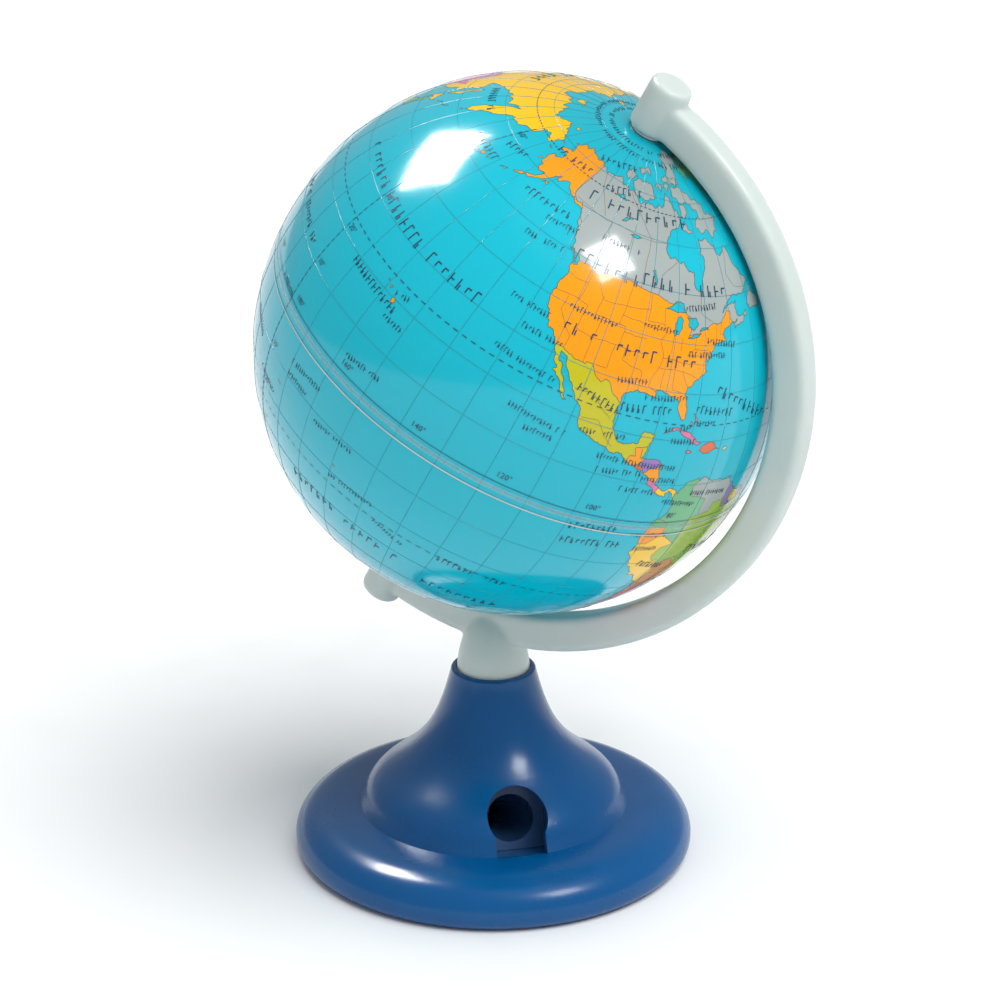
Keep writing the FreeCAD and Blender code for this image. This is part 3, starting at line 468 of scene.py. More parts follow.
# Borders run a little past the coasts that they meet, so that each one closes its country.
BORDERS = """-141 69.8 -141 60.3 -137.5 59 -135.5 59.7 -133 57.5 -130 55.8 -130.2 54.5 / -123.3 49
    -95.2 49 -94.6 48.8 -89.6 48 -88.4 48.3 -84.8 46.5 -83.5 46 -82.5 45.3 -82.4 43 -83.1 42 -79 42.8
    -79.1 43.4 -76.5 44.1 -74.8 45 -71.4 45.1 -70.3 46.2 -69.2 47.4 -67.8 47.1 -67.8 45.7 -66.7 44.8 /
    -117.6 32.4 -114.8 32.5 -111 31.3 -108.2 31.3 -108.2 31.8 -106.5 31.8 -104.5 29.6 -103.2 29 -102.3
    29.9 -101.4 29.8 -99.5 27.5 -96.8 25.9 / -92.5 14 -91.6 16.1 -90.4 16.1 -91 17.8 -88 18.6 / -89.1
    17.9 -89.2 15.9 -88.6 15.7 / -88.1 16 -89.3 14.4 -90.4 13.4 / -89.3 14.4 -88 13.8 -87.7 12.6 /
    -87.5 12.6 -86 13.8 -82.9 15.1 / -86.2 11.1 -83.2 10.9 / -82.9 7.8 -82.4 9.9 / -71.3 12.1 -73 9.5
    -72.3 7.3 -70 6.9 -67.5 6 -67.5 3 -67 1.2 -64 1.8 -64 4 -61 4.3 -60.2 5.2 -60 8.8 / -60.2 5.2 -59.8
    2 -56.5 2 -54.5 2.3 -51.4 4.2 / -57.2 6.2 -58 4 -56.5 2 / -54 6.1 -54.5 2.3 / -79.2 1.6 -75.3 -0.1
    -72.5 -2.4 -70 -4.2 -69.5 1 -67 1.2 / -75.3 -0.1 -78.3 -3.4 -80.8 -3.5 / -70 -4.2 -73 -5 -74 -7.5
    -72.5 -9.5 -70.5 -9.5 -70.5 -11 -69.5 -11 -65.3 -10 -62 -13.5 -60 -13.8 -58 -17.5 -58 -20 -55.8
    -22.3 -54.5 -24.5 -54.6 -25.6 -53.8 -27.2 -57.6 -30.2 -53.1 -33.8 / -69.5 -11 -68.8 -14 -69.5 -17.5
    -70.8 -18.4 / -69.5 -17.5 -67.5 -22.8 -66.5 -22 -62.6 -22.2 -61.8 -19.6 -58 -20 / -67.5 -22.8 -69.5
    -28 -70 -33 -71.2 -38 -72 -43 -72.5 -50 -68.3 -52.3 -68.5 -55.5 / -62.6 -22.2 -58.7 -27.2 -57 -27.3
    -54.6 -25.6 / -57.6 -30.2 -58.2 -33 -57.9 -34.8 / 28.7 71 28.5 69 30 67.7 30 63 27.8 60.2 / 22.5 71
    20.5 69.2 12 64 11.2 58.6 / 20.5 69.2 23.7 67 24.4 65 / 27.7 59.6 27.5 57.5 28 56 31 54 32 52 38
    49.8 39.8 48 38.2 46.8 37.2 45 / 27.5 57.5 24.2 58 / 28 56 21 55.8 / 14.3 54.2 14.8 51 19 49.5 22.5
    49 24 51.5 23.6 54 20.5 55.4 / 24 51.5 32 52 / 22.5 49 28 48 30.4 46.2 / 28 48 29 44.8 / 8.9 55.1 9
    54.5 11.2 54.8 / 7 53.6 6 51 8 49 7.6 47.6 9.5 47.5 13 48.5 14.8 51 / 2.4 51.2 6 49.5 8 49 / 7.6
    47.6 7 46 7.6 43.6 / 7 46 13.4 46.6 13.4 45.4 / 13.4 46.6 16.5 47 17 48 22.5 49 / 16.5 47 20.5 46
    22.7 44 28.8 43.8 / 20.5 46 19 43 19 42 / 22.7 44 22.8 41.4 26.3 41.8 28.2 42.2 / 22.8 41.4 20 39.5
    / 26.3 41.8 26 40.5 / -1.9 43.2 3.4 42.3 / -8.9 42 -6.6 41.8 -7 38 -7.3 37 / 41.3 41.6 44 41 44.8
    37.3 42.3 37.2 35.7 36.3 / 44 41 48.6 41.8 / 48 40.4 48.8 38.2 44.8 39.6 / 44.8 37.3 46 34 48.6
    30.2 / 35.7 33.5 38.8 33.3 46.5 29.2 48.3 29 / 38.8 33.3 42.3 37.2 / 38.8 33.3 36 31.5 34.8 31.5 /
    36 31.5 35 29.3 / 43 16.7 45 17.4 52 19 53.1 16.5 / 52 19 55 22.7 56.5 24.2 / 51 24.4 55.5 22.7 /
    53.8 37.2 59 37.6 61 36.6 61 35 61 30 63 27.2 61.6 25 / 61 30 66.3 30 69.3 32 71.5 36.6 61 35 /
    68.3 23.6 71 25.5 73 30 75 33 74.5 37 71.5 36.6 / 51 47 49 50 52 51.6 61 51 62 54 69 55.3 77 53.8
    80 50.8 87.3 49.1 85.5 47 82.5 45.2 80.2 42.5 74 40.2 73.8 37.4 / 80.2 42.5 71 42.5 66.5 42 61 44
    56 45 52.6 45.4 / 56 45 56 41.5 52.6 41.6 / 56 41.5 60 41.5 66 37.4 61 36.6 / 66 37.4 71.5 36.6 /
    74.5 37 78.5 34 79 31 81.2 30.2 88 27.9 92 27.8 97.3 28.2 98.6 24.5 101.7 21.1 105.3 23.3 108.2
    21.4 / 81.2 30.2 80.2 28.8 88 26.4 88 27.9 / 88.6 21.4 89 26.2 92.3 25 91.4 23 92.2 20.6 / 92.3 25
    94.5 25 97.3 28.2 / 101.7 21.1 100 20.3 97.4 18.4 98.8 16 99.4 12 98.4 10 / 100 20.3 101.5 17.6
    104.8 16.4 105.6 14.3 102.7 11.5 / 105.6 14.3 107.6 14.5 106.4 10.9 104.3 10.3 / 107.6 14.5 107.4
    16 104 20 102 22.4 / 100 6.6 102.3 6.1 / 87.3 49.1 91 45.2 97 42.8 105 41.6 111 43.6 119.8 46.7
    115.5 47.8 116.7 49.8 108 49.4 98.5 52 92 50.8 87.3 49.1 / 116.7 49.8 120.2 52.6 125.5 53 131 47.8
    135 48.4 131 44.9 130.4 42.2 / 124.2 39.6 128 42 130.8 42.2 / 126 37.8 128.6 38.6 / -2.2 35.3 -1.2
    32.3 -8.7 28.7 -13.4 27.6 / -8.7 28.7 -8.7 27.3 -5 25 2 20.5 3.2 19 9 22.6 9.5 30.2 8 33 8.3 37.3 /
    9.5 30.2 11.6 33.4 / 9 22.6 14 22.8 24 19.6 25 20 25 32 / 25 22 37.5 22 / 3.2 19 4 16.5 0.5 15 -5.5
    15.6 -12 15 -16.8 16 / -5 25 -5.5 15.6 / 4 16.5 3.6 13 13.5 13.6 15.5 17 14 22.8 / 3.6 13 1.6 6 /
    13.5 13.6 14.2 11 9 5.5 8.6 4.3 / 0.5 15 -3 13 -5.5 10.3 1 11 1.2 5.6 / -5.5 10.3 -3.2 4.9 / -5.5
    10.3 -8 8.5 -7.6 4 / -8 8.5 -12 12 -17 12 / -8 8.5 -11 9.8 -13.7 8.8 / 24 19.6 22.4 12 27.5 9 34 9
    36.3 14.5 38.7 18.2 / 14.2 11 15.5 7.5 18.5 9 22.4 12 / 15.5 7.5 15 2.3 9.6 2.2 / 15 2.3 18.6 4.5
    27.5 5 27.5 9 / 18.6 4.5 16.5 -1.5 13 -4.7 11.8 -4.7 / 9.2 -3.5 14 -2.2 16.5 -1.5 / 27.5 5 34 4.3
    34 9 / 34 4.3 41.8 4 43.2 11.2 36.3 14.5 / 43.2 11.2 47.9 8 41.8 4 41.3 -1.9 / 34 4.3 34 -1 39.4 -5
    / 34 -1 29.6 -1.2 30.8 3.6 / 29.6 -1.2 29.4 -6 31 -8.6 28.4 -9.3 28.5 -12.3 24 -11 22 -11 21.8 -7.2
    16.8 -6 12 -6 / 31 -8.6 34.6 -11.5 40.8 -10.5 / 34.6 -11.5 35.8 -16.5 33 -14 30.2 -15.2 32.8 -18 32
    -22.3 31.3 -25.8 32 -26.8 33.2 -26.8 / 22 -11 22 -17.8 33 -14 / 11.4 -17.3 22 -17.8 25.3 -17.8 30.2
    -15.2 / 25.3 -17.8 29.3 -22.2 31.6 -22.4 / 29.3 -22.2 25 -25.6 20 -26.8 20 -28.6 16.2 -28.6 / 20
    -26.8 21 -18.2 / 141 -2.3 141 -9.4 / 109.4 1.8 111.5 1 115 2.5 117.9 4.2 / 123.9 -9 125.2 -9.5 /
    -73.2 78.5 -66 80.3 -60 82.4"""

STATES = """-124 46.2 -119 45.9 -117 46 -117 49 / -124.4 42 -114 42 / -117 46 -117 42 / -120 42 -120 39
    -114.6 35 -114.8 32.5 / -114 42 -114 37 -103 37 / -111 45 -111 41 -102 41 / -109 41 -109 31.4 /
    -116 49 -111 44.5 -104 45 -96.5 45.9 / -104 49 -104 41 -102 41 -102 37 -103 37 -103 32 -106.6 32 /
    -104 43 -98.5 43 -96.5 42.5 -91.2 42.5 / -102 40 -95.3 40 / -102 37 -94.6 37 / -100 37 -100 34.6
    -94.5 33.6 -94 33 -94 29.7 / -97.2 49 -96.5 45.9 -96.5 43.5 -91.2 43.5 / -92 46.7 -91.2 43.5 -90.2
    41.8 -91.4 40.4 -89.5 37.3 -90 35 -91.2 33 -91.6 31 -89.6 30.2 / -87.6 41.7 -87.5 38.2 / -84.8 41.7
    -84.8 39.1 / -89.5 37 -81.7 36.6 -75.9 36.6 / -90 35 -83.2 35 -78.6 33.9 / -88.2 35 -88.4 30.3 /
    -85.5 35 -85 31 -82 30.6 -81.4 30.7 / -83.2 35 -81 32 / -80.5 42.2 -80.5 39.7 -75.8 39.7 / -82.6
    38.3 -80.5 39.7 / -82.6 38.3 -77.5 38.5 / -73.4 45 -73.5 41 / -71.5 45 -71.9 42.7 -70.8 42.7 / -120
    60 -120 54 -114 49 / -110 60 -110 49 / -102 60 -101.4 49 / -136 69 -132 65 -124 60 / -139 60 -94.8
    60 / -95.2 49 -95.2 53 -89 56.8 / -79.5 51.5 -79.5 47 -75 45.3 / -64.5 60.3 -67 54.5 -64 52 -57
    51.5 / -117 68.5 -110 65 -102 60 / -108.5 26 -104 26.5 -101 24 -98.5 22.5 / -105 21 -101 21.5 -99
    19 -96.5 17"""

# Print colours of the countries, with a town or place inside each of them.
INKS = {
    "sea": (0, 184, 206), "grey": (160, 170, 168), "orange": (250, 156, 18), "yellow": (253, 200, 14),
    "olive": (196, 190, 30), "green": (104, 180, 128), "leaf": (150, 184, 44), "pink": (226, 118, 164),
    "violet": (150, 122, 190), "rose": (222, 108, 70), "cream": (238, 222, 132), "brown": (206, 128, 44),
    "white": (232, 236, 232),
}
COUNTRIES = {
    "grey": """-100 55 -75 70 -112 71 -121 73 -80 80 -86 75.4 -92 79.3 -100 73 -93 73 -110 75.3 -84
    64.6 -55.5 48.5 -126.5 49.9 -132.2 53.4 -66 8 51 34 -63 46.3 105 46.5 32 15 -12.5 18.5 10 63 9 46.8""",
    "orange": """-98 40 -152 65 -85.2 12.2 -78.6 -1 -153.5 57.6 10 51 67 33 10 28 24 -19 -90.2 15.2 46
    24 122 12 -4 12.5""",
    "olive": "-102 24 78 22 -6.5 32 25 4 145 -6.5 -88.3 17.2 33 39 34 -4 -55.8 4 -112.5 28 22 -3",
    "pink": """38 1.5 38.5 -2 -84 10 -79 22 2 47 -60 -37 104 36 30 -29 18.5 15 43 33 -11 8 135 -25 -5
    53 15 62.5 28.6 44.5""",
    "violet": """42.2 -0.6 45.5 4 -86.6 14.6 67 28 20 52 -57 -23 22 -12 28 27.5 -58.5 4.5 46 7 101 15
    124 8 20 39.9 -53 3.5""",
    "yellow": """100 62 -80.6 8.4 -75 -9 136 -3.5 25 28 143 50.5 56 72 100 80 142 75 -3 40 180.6 71.2
    17 -22 8 9 60 80.6""",
    "green": """-42 72 -71.5 -1.5 15.5 -1.5 -73.5 5 16 2 -63 -17.3 12 42.5 138 36 -5.6 7.5 -65.7 18.2
    47 -20 20 66 106 20 -18 65""",
    "leaf": """-54 -10 -61.5 2.5 54 32 30.5 49.5 96 20 -8.2 39.5 121 16.5 17 -12 26 63.5 -8.5 16.5 80.8
    7.4 109 14.5""",
    "rose": "-71 -36 68 48 90 24 114 -0.5 38 9.5 2 31 12.5 4.5 -71 19 26 57 -89.3 13.9",
    "cream": """11.3 1 11.5 -1.5 -66 18.2 84 28.4 60 39 10 17 23 -22 127 40 70 39 48 16 19 44.5 29 -19
    15 45.9 173 -44 175.8 -38.5""",
    "brown": "-64.5 -17.5 -56 -33 15 27 30 33 37 -17 128 36 7 60.6 24 46 98 17 102 5 23.5 42.6 -14.5 14.5",
    "white": "0 -85 100 -75 -60 -71",
}


def outline(text):
    """The points of an outline written as longitude latitude pairs."""
    numbers = [float(word) for word in text.split()]
    return list(zip(numbers[::2], numbers[1::2]))


def flat(lon, lat, side):
    """The same place on the flat sheet of a half: distance from its pole, and longitude."""
    reach = 90 - side * lat
    return Vector((reach * math.cos(math.radians(lon)), reach * math.sin(math.radians(lon))))


def print_shift(lon, lat):
    """How far the print's land lies off its grid: a little west over North America."""
    west = math.exp(-((lon + 100) / 55) ** 2) * math.exp(-((lat - 32) / 24) ** 2)
    far_north = math.exp(-(((lon % 360) - 188) / 42) ** 2) * math.exp(-((lat - 68) / 15) ** 2)
    return lon - 3.6 * west + 4.5 * far_north, lat - 0.7 * west + 2.6 * far_north


def ragged(start, end, depth, rough):
    """The line from start to end with the small bends of a real coast, the same whichever way it runs."""
    gap = math.hypot((end[0] - start[0]) * math.cos(math.radians(start[1])), end[1] - start[1])
    if depth == 0 or gap < 0.5:
        return [start]
    key = math.sin(start[0] * 12.9898 + start[1] * 78.233) + math.sin(end[0] * 12.9898 + end[1] * 78.233)
    bend = (math.modf(abs(key) * 43758.5453)[0] - 0.5) * rough
    if end < start:
        bend = -bend
    middle = ((start[0] + end[0]) / 2 + (end[1] - start[1]) * bend,
              (start[1] + end[1]) / 2 - (end[0] - start[0]) * bend)
    return ragged(start, middle, depth - 1, rough) + ragged(middle, end, depth - 1, rough)


def drawn(points, closed, rough):
    """An outline's finished line on the print, shifted and ragged."""
    ends = points[1:] + points[:1] if closed else points[1:]
    line = []
    for start, end in zip(points, ends):
        nearest_lon = start[0] + (end[0] - start[0] + 180) % 360 - 180
        line += ragged(start, (nearest_lon, end[1]), 3, rough)
    if not closed:
        line.append(points[-1])
    return [print_shift(*place) for place in line]


coasts = {name: drawn(outline(text), True, 0.42) for name, text in LAND.items()}
shores = {name: drawn(outline(text), True, 0.25) for name, text in LAKES.items()}
borders = [drawn(outline(text), False, 0.18) for text in BORDERS.split("/")]
states = [drawn(outline(text), False, 0.08) for text in STATES.split("/")]


def inside(point, ring):
    """True if a flat point lies inside a ring of flat points."""
    found = False
    for a, b in zip(ring, ring[1:] + ring[:1]):
        if (a.y > point.y) != (b.y > point.y):
            if point.x < a.x + (b.x - a.x) * (point.y - a.y) / (b.y - a.y):
                found = not found
    return found


EDGE_LAT = 90 - math.degrees(math.asin(POLE_HOLE_R / BALL_R))
RING_STEP = 2.0
RIM_POINTS, RING_POINTS, HOLE_POINTS = 240, 180, 24


def sheet_points(side):
    """Evenly spread points that carry the curve of a half, in rings of latitude from rim to pole hole."""
    rings = [step * RING_STEP for step in range(0, 44)] + [EDGE_LAT]
    places, hoops = [], []
    for lat in rings:
        count = max(HOLE_POINTS, int(RING_POINTS * math.cos(math.radians(lat)))) if lat else RIM_POINTS
        first = len(places)
        places += [flat(360 * k / count, side * lat, side) for k in range(count)]
        if lat in (0, EDGE_LAT):
            hoops += [(first + k, first + (k + 1) % count) for k in range(count)]
    return places, hoops


def overrun(line, reach=0.9):
    """A line of places carried on a little past both its ends, to be sure of meeting what it runs to."""
    longer = list(line)
    for here, there in ((line[0], line[1]), (line[-1], line[-2])):
        away = Vector(here) - Vector(there)
        away *= reach / away.length
        spot = (here[0] + away.x, here[1] + away.y)
        longer = [spot] + longer if here is line[0] else longer + [spot]
    return longer


def half_map(side):
    """Triangles of one half's printed sheet, and the region that each one belongs to."""
    places, hoops = sheet_points(side)
    edges = list(hoops)
    lines = [(line, True) for line in list(coasts.values()) + list(shores.values())]
    lines += [(overrun(line), False) for line in borders]
    for line, closed in lines:
        if all(side * lat <= 0 for lon, lat in line):
            continue
        first = len(places)
        count = len(line)
        places += [flat(lon, lat, side) for lon, lat in line]
        edges += [(first + k, first + (k + 1) % count) for k in range(count if closed else count - 1)]
    corners, links, faces, _, origins, _ = delaunay_2d_cdt(places, edges, [], 0, 1e-6)
    walls = {tuple(sorted(link)) for link, origin in zip(links, origins) if origin}
    kept = []
    for face in faces:
        middle = sum((corners[v] for v in face), Vector((0, 0))) / len(face)
        if (90 - EDGE_LAT) * 0.999 < middle.length < 90:
            kept.append((face, middle))
    across = {}
    for index, (face, _) in enumerate(kept):
        for a, b in zip(face, face[1:] + face[:1]):
            across.setdefault(tuple(sorted((a, b))), []).append(index)
    region = [None] * len(kept)
    regions = []
    for start in range(len(kept)):
        if region[start] is not None:
            continue
        region[start] = len(regions)
        members, queue = [start], [start]
        while queue:
            face = kept[queue.pop()][0]
            for a, b in zip(face, face[1:] + face[:1]):
                link = tuple(sorted((a, b)))
                if link in walls:
                    continue
                for other in across[link]:
                    if region[other] is None:
                        region[other] = len(regions)
                        members.append(other)
                        queue.append(other)
        regions.append(members)
    return corners, kept, region, regions


def inks_of(side, corners, kept, region, regions):
    """The ink of every region: its country's, a plain land ink, or the sea's."""
    seeds = []
    for ink, places in COUNTRIES.items():
        seeds += [(flat(*print_shift(lon, lat), side), ink)
                  for lon, lat in outline(places) if side * lat > 0]
    land = [[flat(lon, lat, side) for lon, lat in line] for line in coasts.values()
            if any(side * lat > 0 for lon, lat in line)]
    water = [[flat(lon, lat, side) for lon, lat in line] for line in shores.values()
             if all(side * lat > 0 for lon, lat in line)]
    chosen = []
    for number, members in enumerate(regions):
        widest = max(members, key=lambda m: abs((corners[kept[m][0][1]] - corners[kept[m][0][0]]).cross(
            corners[kept[m][0][2]] - corners[kept[m][0][0]])))
        spot = kept[widest][1]
        if any(inside(spot, ring) for ring in water) or not any(inside(spot, ring) for ring in land):
            chosen.append("sea")
        else:
            chosen.append(min(seeds, key=lambda seed: (seed[0] - spot).length_squared)[1])
    for spot, ink in seeds:
        nearest = min(range(len(kept)), key=lambda k: (kept[k][1] - spot).length_squared)
        if chosen[region[nearest]] != "sea":
            chosen[region[nearest]] = ink
    return chosen


# Painted shade: the ink is darkened by up to this share within this distance of each pole, where the boss is
# mirrored darkly in the gloss.
PAINTED_POLE_SHADE = 0.22
PAINTED_POLE_SHADE_REACH = 6 * MM
RIM_REACH = 10 * MM


def printed_half(side):
    """One half shell: the printed dome with its ink in every triangle and painted shade near the pole, its
    wall, rim and inner face.
    """
    corners, kept, region, regions = half_map(side)
    inks = inks_of(side, corners, kept, region, regions)
    shape = bmesh.new()
    ink_and_painted_shade = shape.loops.layers.float_color.new("Ink")
    used = sorted({v for face, _ in kept for v in face})
    dome = {}
    for v in used:
        spot = corners[v]
        lat = min(max(90 - spot.length, 0), EDGE_LAT) * side
        lon = math.degrees(math.atan2(spot.y, spot.x))
        dome[v] = shape.verts.new(on_ball(lon, lat, 0.0, side))
    for number, (face, _) in enumerate(kept):
        ring = [dome[v] for v in face]
        if side < 0:
            ring.reverse()
        made = shape.faces.new(ring)
        for loop in made.loops:
            # Painted shade: each corner's ink is darkened towards the pole, standing in for the boss's dark
            # reflection in the gloss.
            depth = 1 - PAINTED_POLE_SHADE * (1 - min(1, max(0, (BALL_R - abs(loop.vert.co.z)) / PAINTED_POLE_SHADE_REACH)))
            loop[ink_and_painted_shade] = [channel * depth for channel in shade(*INKS[inks[region[number]]])[:3]] + [1]
    rims = {"equator": [], "pole": []}
    for edge in [edge for edge in shape.edges if len(edge.link_faces) == 1]:
        near = "equator" if abs(edge.verts[0].co.z) < RIM_REACH else "pole"
        rims[near].append(edge)

    def pulled(edges, place):
        """A strip drawn from a rim to new places, carrying the ink of the triangle it starts from."""
        copies = {}
        for edge in edges:
            face = edge.link_faces[0]
            ink = face.loops[0][ink_and_painted_shade].copy()
            loop = next(loop for loop in face.loops if loop.edge == edge)
            first, second = loop.vert, loop.link_loop_next.vert
            for vert in (first, second):
                if vert not in copies:
                    copies[vert] = shape.verts.new(place(vert.co))
            strip = shape.faces.new([second, first, copies[first], copies[second]])
            for loop in strip.loops:
                loop[ink_and_painted_shade] = ink
        return [shape.edges.get(pair) for pair in
                [(copies[edge.verts[0]], copies[edge.verts[1]]) for edge in edges]]

    def shrunk(spot):
        """The place on the inner face behind a place on the outer one."""
        flat_spot = Vector((spot.x, spot.y, 0))
        if abs(spot.z) < 2 * SEAM_BAND:
            return flat_spot.normalized() * INNER_R + Vector((0, 0, spot.z))
        return Vector((spot.x, spot.y, side * (SEAM_BAND + math.sqrt(INNER_R ** 2 - flat_spot.length ** 2))))

    band = pulled(rims["equator"], lambda spot: Vector((spot.x, spot.y, 0)))
    lip = pulled(band, shrunk)
    inner = pulled(lip, lambda spot: Vector((spot.x, spot.y, side * SEAM_BAND)))
    hole = pulled(rims["pole"], shrunk)
    for step in range(1, 13):
        lat = math.radians(EDGE_LAT * step / 12)
        inner = pulled(inner, lambda spot: Vector((spot.x, spot.y, 0)).normalized() * INNER_R * math.cos(lat)
                       + Vector((0, 0, side * (SEAM_BAND + INNER_R * math.sin(lat)))))
    for face in shape.faces:
        face.smooth = True
    for edge in band + lip + hole:
        edge.smooth = False
    bmesh.ops.recalc_face_normals(shape, faces=shape.faces)
    mesh = bpy.data.meshes.new("printed_half")
    shape.to_mesh(mesh)
    shape.free()
    mesh.transform(to_ball)
    return mesh


def printed_gloss():
    """Printed film under clear lacquer: the ink of each triangle, faintly mottled with a deeper tone."""
    material = moulded("globe_print", shade(255, 255, 255), shade(255, 255, 255), 0.16, 0.13, peel=0.04,
                       cloud_size=60, peel_size=260, Coat_Weight=0.35, Coat_Roughness=0.05,
                       Specular_IOR_Level=0.35)
    tree = material.node_tree
    add = node_adder(tree)
    ink = add("ShaderNodeAttribute", attribute_name="Ink").outputs["Color"]
    deeper = add("ShaderNodeHueSaturation", {"Value": 0.72, "Saturation": 1.1}, {"Color": ink})
    skin = tree.nodes["skin"]
    tree.links.new(ink, skin.inputs["Colour"])
    tree.links.new(deeper.outputs["Color"], skin.inputs["Deep"])
    return material


globe_print = printed_gloss()
finished("north_print", printed_half(1), globe_print, "globe", "globe_north_half", slot="globe_print")
finished("south_print", printed_half(-1), globe_print, "globe", "globe_south_half", slot="globe_print")


# ---- map lines: coasts, borders and the grid ----
# Thin lines printed over the map's colours, a darker one along each coast and a brown one at borders.
# The grid is a fine teal line every ten degrees, over land and sea alike.

def inked(lines, width, lift):
    """Ribbons of one width along lines of places, laid on the ball."""
    shape = bmesh.new()
    for line, closed in lines:
        spots = [on_ball(lon, lat, lift) for lon, lat in line]
        count = len(spots)
        pairs = []
        for k, spot in enumerate(spots):
            ahead = spots[(k + 1) % count if closed else min(k + 1, count - 1)]
            behind = spots[(k - 1) % count if closed else max(k - 1, 0)]
            across = spot.cross(ahead - behind).normalized() * width / 2
            pairs.append((shape.verts.new(spot - across), shape.verts.new(spot + across)))
        for k in range(count if closed else count - 1):
            (a, b), (c, d) = pairs[k], pairs[(k + 1) % count]
            shape.faces.new((a, c, d, b)).smooth = True
    mesh = bpy.data.meshes.new("ink_lines")
    shape.to_mesh(mesh)
    shape.free()
    mesh.transform(to_ball)
    return mesh


coast_ink = moulded("coast_ink", shade(74, 112, 96), shade(52, 92, 92), 0.6, 0.16, Coat_Weight=0.5)
border_ink = moulded("border_ink", shade(128, 104, 74), shade(110, 92, 80), 0.6, 0.16, Coat_Weight=0.5)
finished("coast_lines", inked([(line, True) for line in list(coasts.values()) + list(shores.values())],
                              0.12 * MM, 0.022 * MM), coast_ink, "globe")
finished("border_lines", inked([(line, False) for line in borders], 0.10 * MM, 0.018 * MM), border_ink,
         "globe")
finished("state_lines", inked([(line, False) for line in states], 0.06 * MM, 0.014 * MM), border_ink,
         "globe")


PARALLELS = 17


def grid_tree():
    """Tree: meridians and parallels every few degrees as fine four-sided wires on the ball."""
    tree, add, given = new_tree(
        "map_grid", "GeometryNodeTree",
        (("Ball radius", "Float", BALL_R), ("Band", "Float", SEAM_BAND),
         ("Line radius", "Float", 0.045 * MM), ("Meridians", "Int", 36), ("Parallels", "Int", PARALLELS),
         ("Step", "Float", math.radians(10)), ("Ink", "Material", None)), (("Geometry", "Geometry"),))

    def sum_of(operation, first, second=None, value=None):
        """The result of one sum on one or two sockets."""
        node = add("ShaderNodeMath", None, {0: first}, operation=operation)
        if second is not None:
            tree.links.new(second, node.inputs[1])
        if value is not None:
            node.inputs[1].default_value = value
        return node.outputs[0]

    index = add("GeometryNodeInputIndex").outputs[0]
    arc = add("GeometryNodeCurveArc", {"Resolution": 96, "Start Angle": math.radians(-80),
                                       "Sweep Angle": math.radians(160)}, {"Radius": given["Ball radius"]})
    spokes = add("GeometryNodeMeshLine", {"Offset": (0, 0, 0)}, {"Count": given["Meridians"]})
    stand = add("ShaderNodeCombineXYZ", {"X": math.pi / 2}, {"Z": sum_of("MULTIPLY", index, given["Step"])})
    meridians = add("GeometryNodeInstanceOnPoints", None,
                    {"Points": spokes.outputs[0], "Instance": arc.outputs["Curve"],
                     "Rotation": stand.outputs[0]})
    hoop = add("GeometryNodeCurvePrimitiveCircle", {"Resolution": 160}, {"Radius": given["Ball radius"]})
    rungs = add("GeometryNodeMeshLine", {"Offset": (0, 0, 0)}, {"Count": given["Parallels"]})
    height = sum_of("MULTIPLY", sum_of("SUBTRACT", index, value=(PARALLELS - 1) / 2), given["Step"])
    shrink = sum_of("COSINE", height)
    rise = sum_of("MULTIPLY", sum_of("SINE", height), given["Ball radius"])
    at = add("ShaderNodeCombineXYZ", None, {"Z": rise})
    size = add("ShaderNodeCombineXYZ", {"Z": 1.0}, {"X": shrink, "Y": shrink})
    raised = add("GeometryNodeSetPosition", None, {"Geometry": rungs.outputs[0], "Position": at.outputs[0]})
    parallels = add("GeometryNodeInstanceOnPoints", None,
                    {"Points": raised.outputs[0], "Instance": hoop.outputs["Curve"],
                     "Scale": size.outputs[0]})
    both = add("GeometryNodeJoinGeometry")
    tree.links.new(meridians.outputs[0], both.inputs[0])
    tree.links.new(parallels.outputs[0], both.inputs[0])
    loose = add("GeometryNodeRealizeInstances", None, {0: both.outputs[0]})
    place = add("GeometryNodeInputPosition")
    parts = add("ShaderNodeSeparateXYZ", None, {0: place.outputs[0]})
    lift = sum_of("MULTIPLY", sum_of("SIGN", parts.outputs["Z"]), given["Band"])
    shift = add("ShaderNodeCombineXYZ", None, {"Z": lift})
    split = add("GeometryNodeSetPosition", None, {"Geometry": loose.outputs[0], "Offset": shift.outputs[0]})
    section = add("GeometryNodeCurvePrimitiveCircle", {"Resolution": 4}, {"Radius": given["Line radius"]})
    wires = add("GeometryNodeCurveToMesh", None,
                {"Curve": split.outputs[0], "Profile Curve": section.outputs["Curve"]})
    solid = add("GeometryNodeRealizeInstances", None, {0: wires.outputs[0]})
    inky = add("GeometryNodeSetMaterial", None, {"Geometry": solid.outputs[0], "Material": given["Ink"]})
    add("NodeGroupOutput", None, {"Geometry": inky.outputs[0]})
    return tree


def grown(name, tree, start, **values):
    """The plain mesh that a geometry tree makes from a starting mesh with these values."""
    source = bpy.data.objects.new(name + "_source", start)
    bpy.context.scene.collection.objects.link(source)
    modifier = source.modifiers.new(name, "NODES")
    modifier.node_group = tree
    for item in tree.interface.items_tree:
        wanted = item.name.replace(" ", "_")
        if item.in_out == "INPUT" and wanted in values:
            modifier[item.identifier] = values[wanted]
    ready = source.evaluated_get(bpy.context.evaluated_depsgraph_get())
    mesh = bpy.data.meshes.new_from_object(ready)
    bpy.data.objects.remove(source)
    return mesh


grid_ink = moulded("grid_ink", shade(40, 150, 166), shade(30, 124, 146), 0.5, 0.2)
grid_mesh = grown("map_grid", grid_tree(), bpy.data.meshes.new("bare"), Ink=grid_ink)
grid_mesh.transform(to_ball)
finished("grid_lines", grid_mesh, None, "globe")


# ---- map dashes, numerals and names ----
# Dashed circles at the tropics and polar circles and a dashed date line; degree numbers on the grid.
# Names of places are only hinted at with small strokes, set along lines as the real ones are.

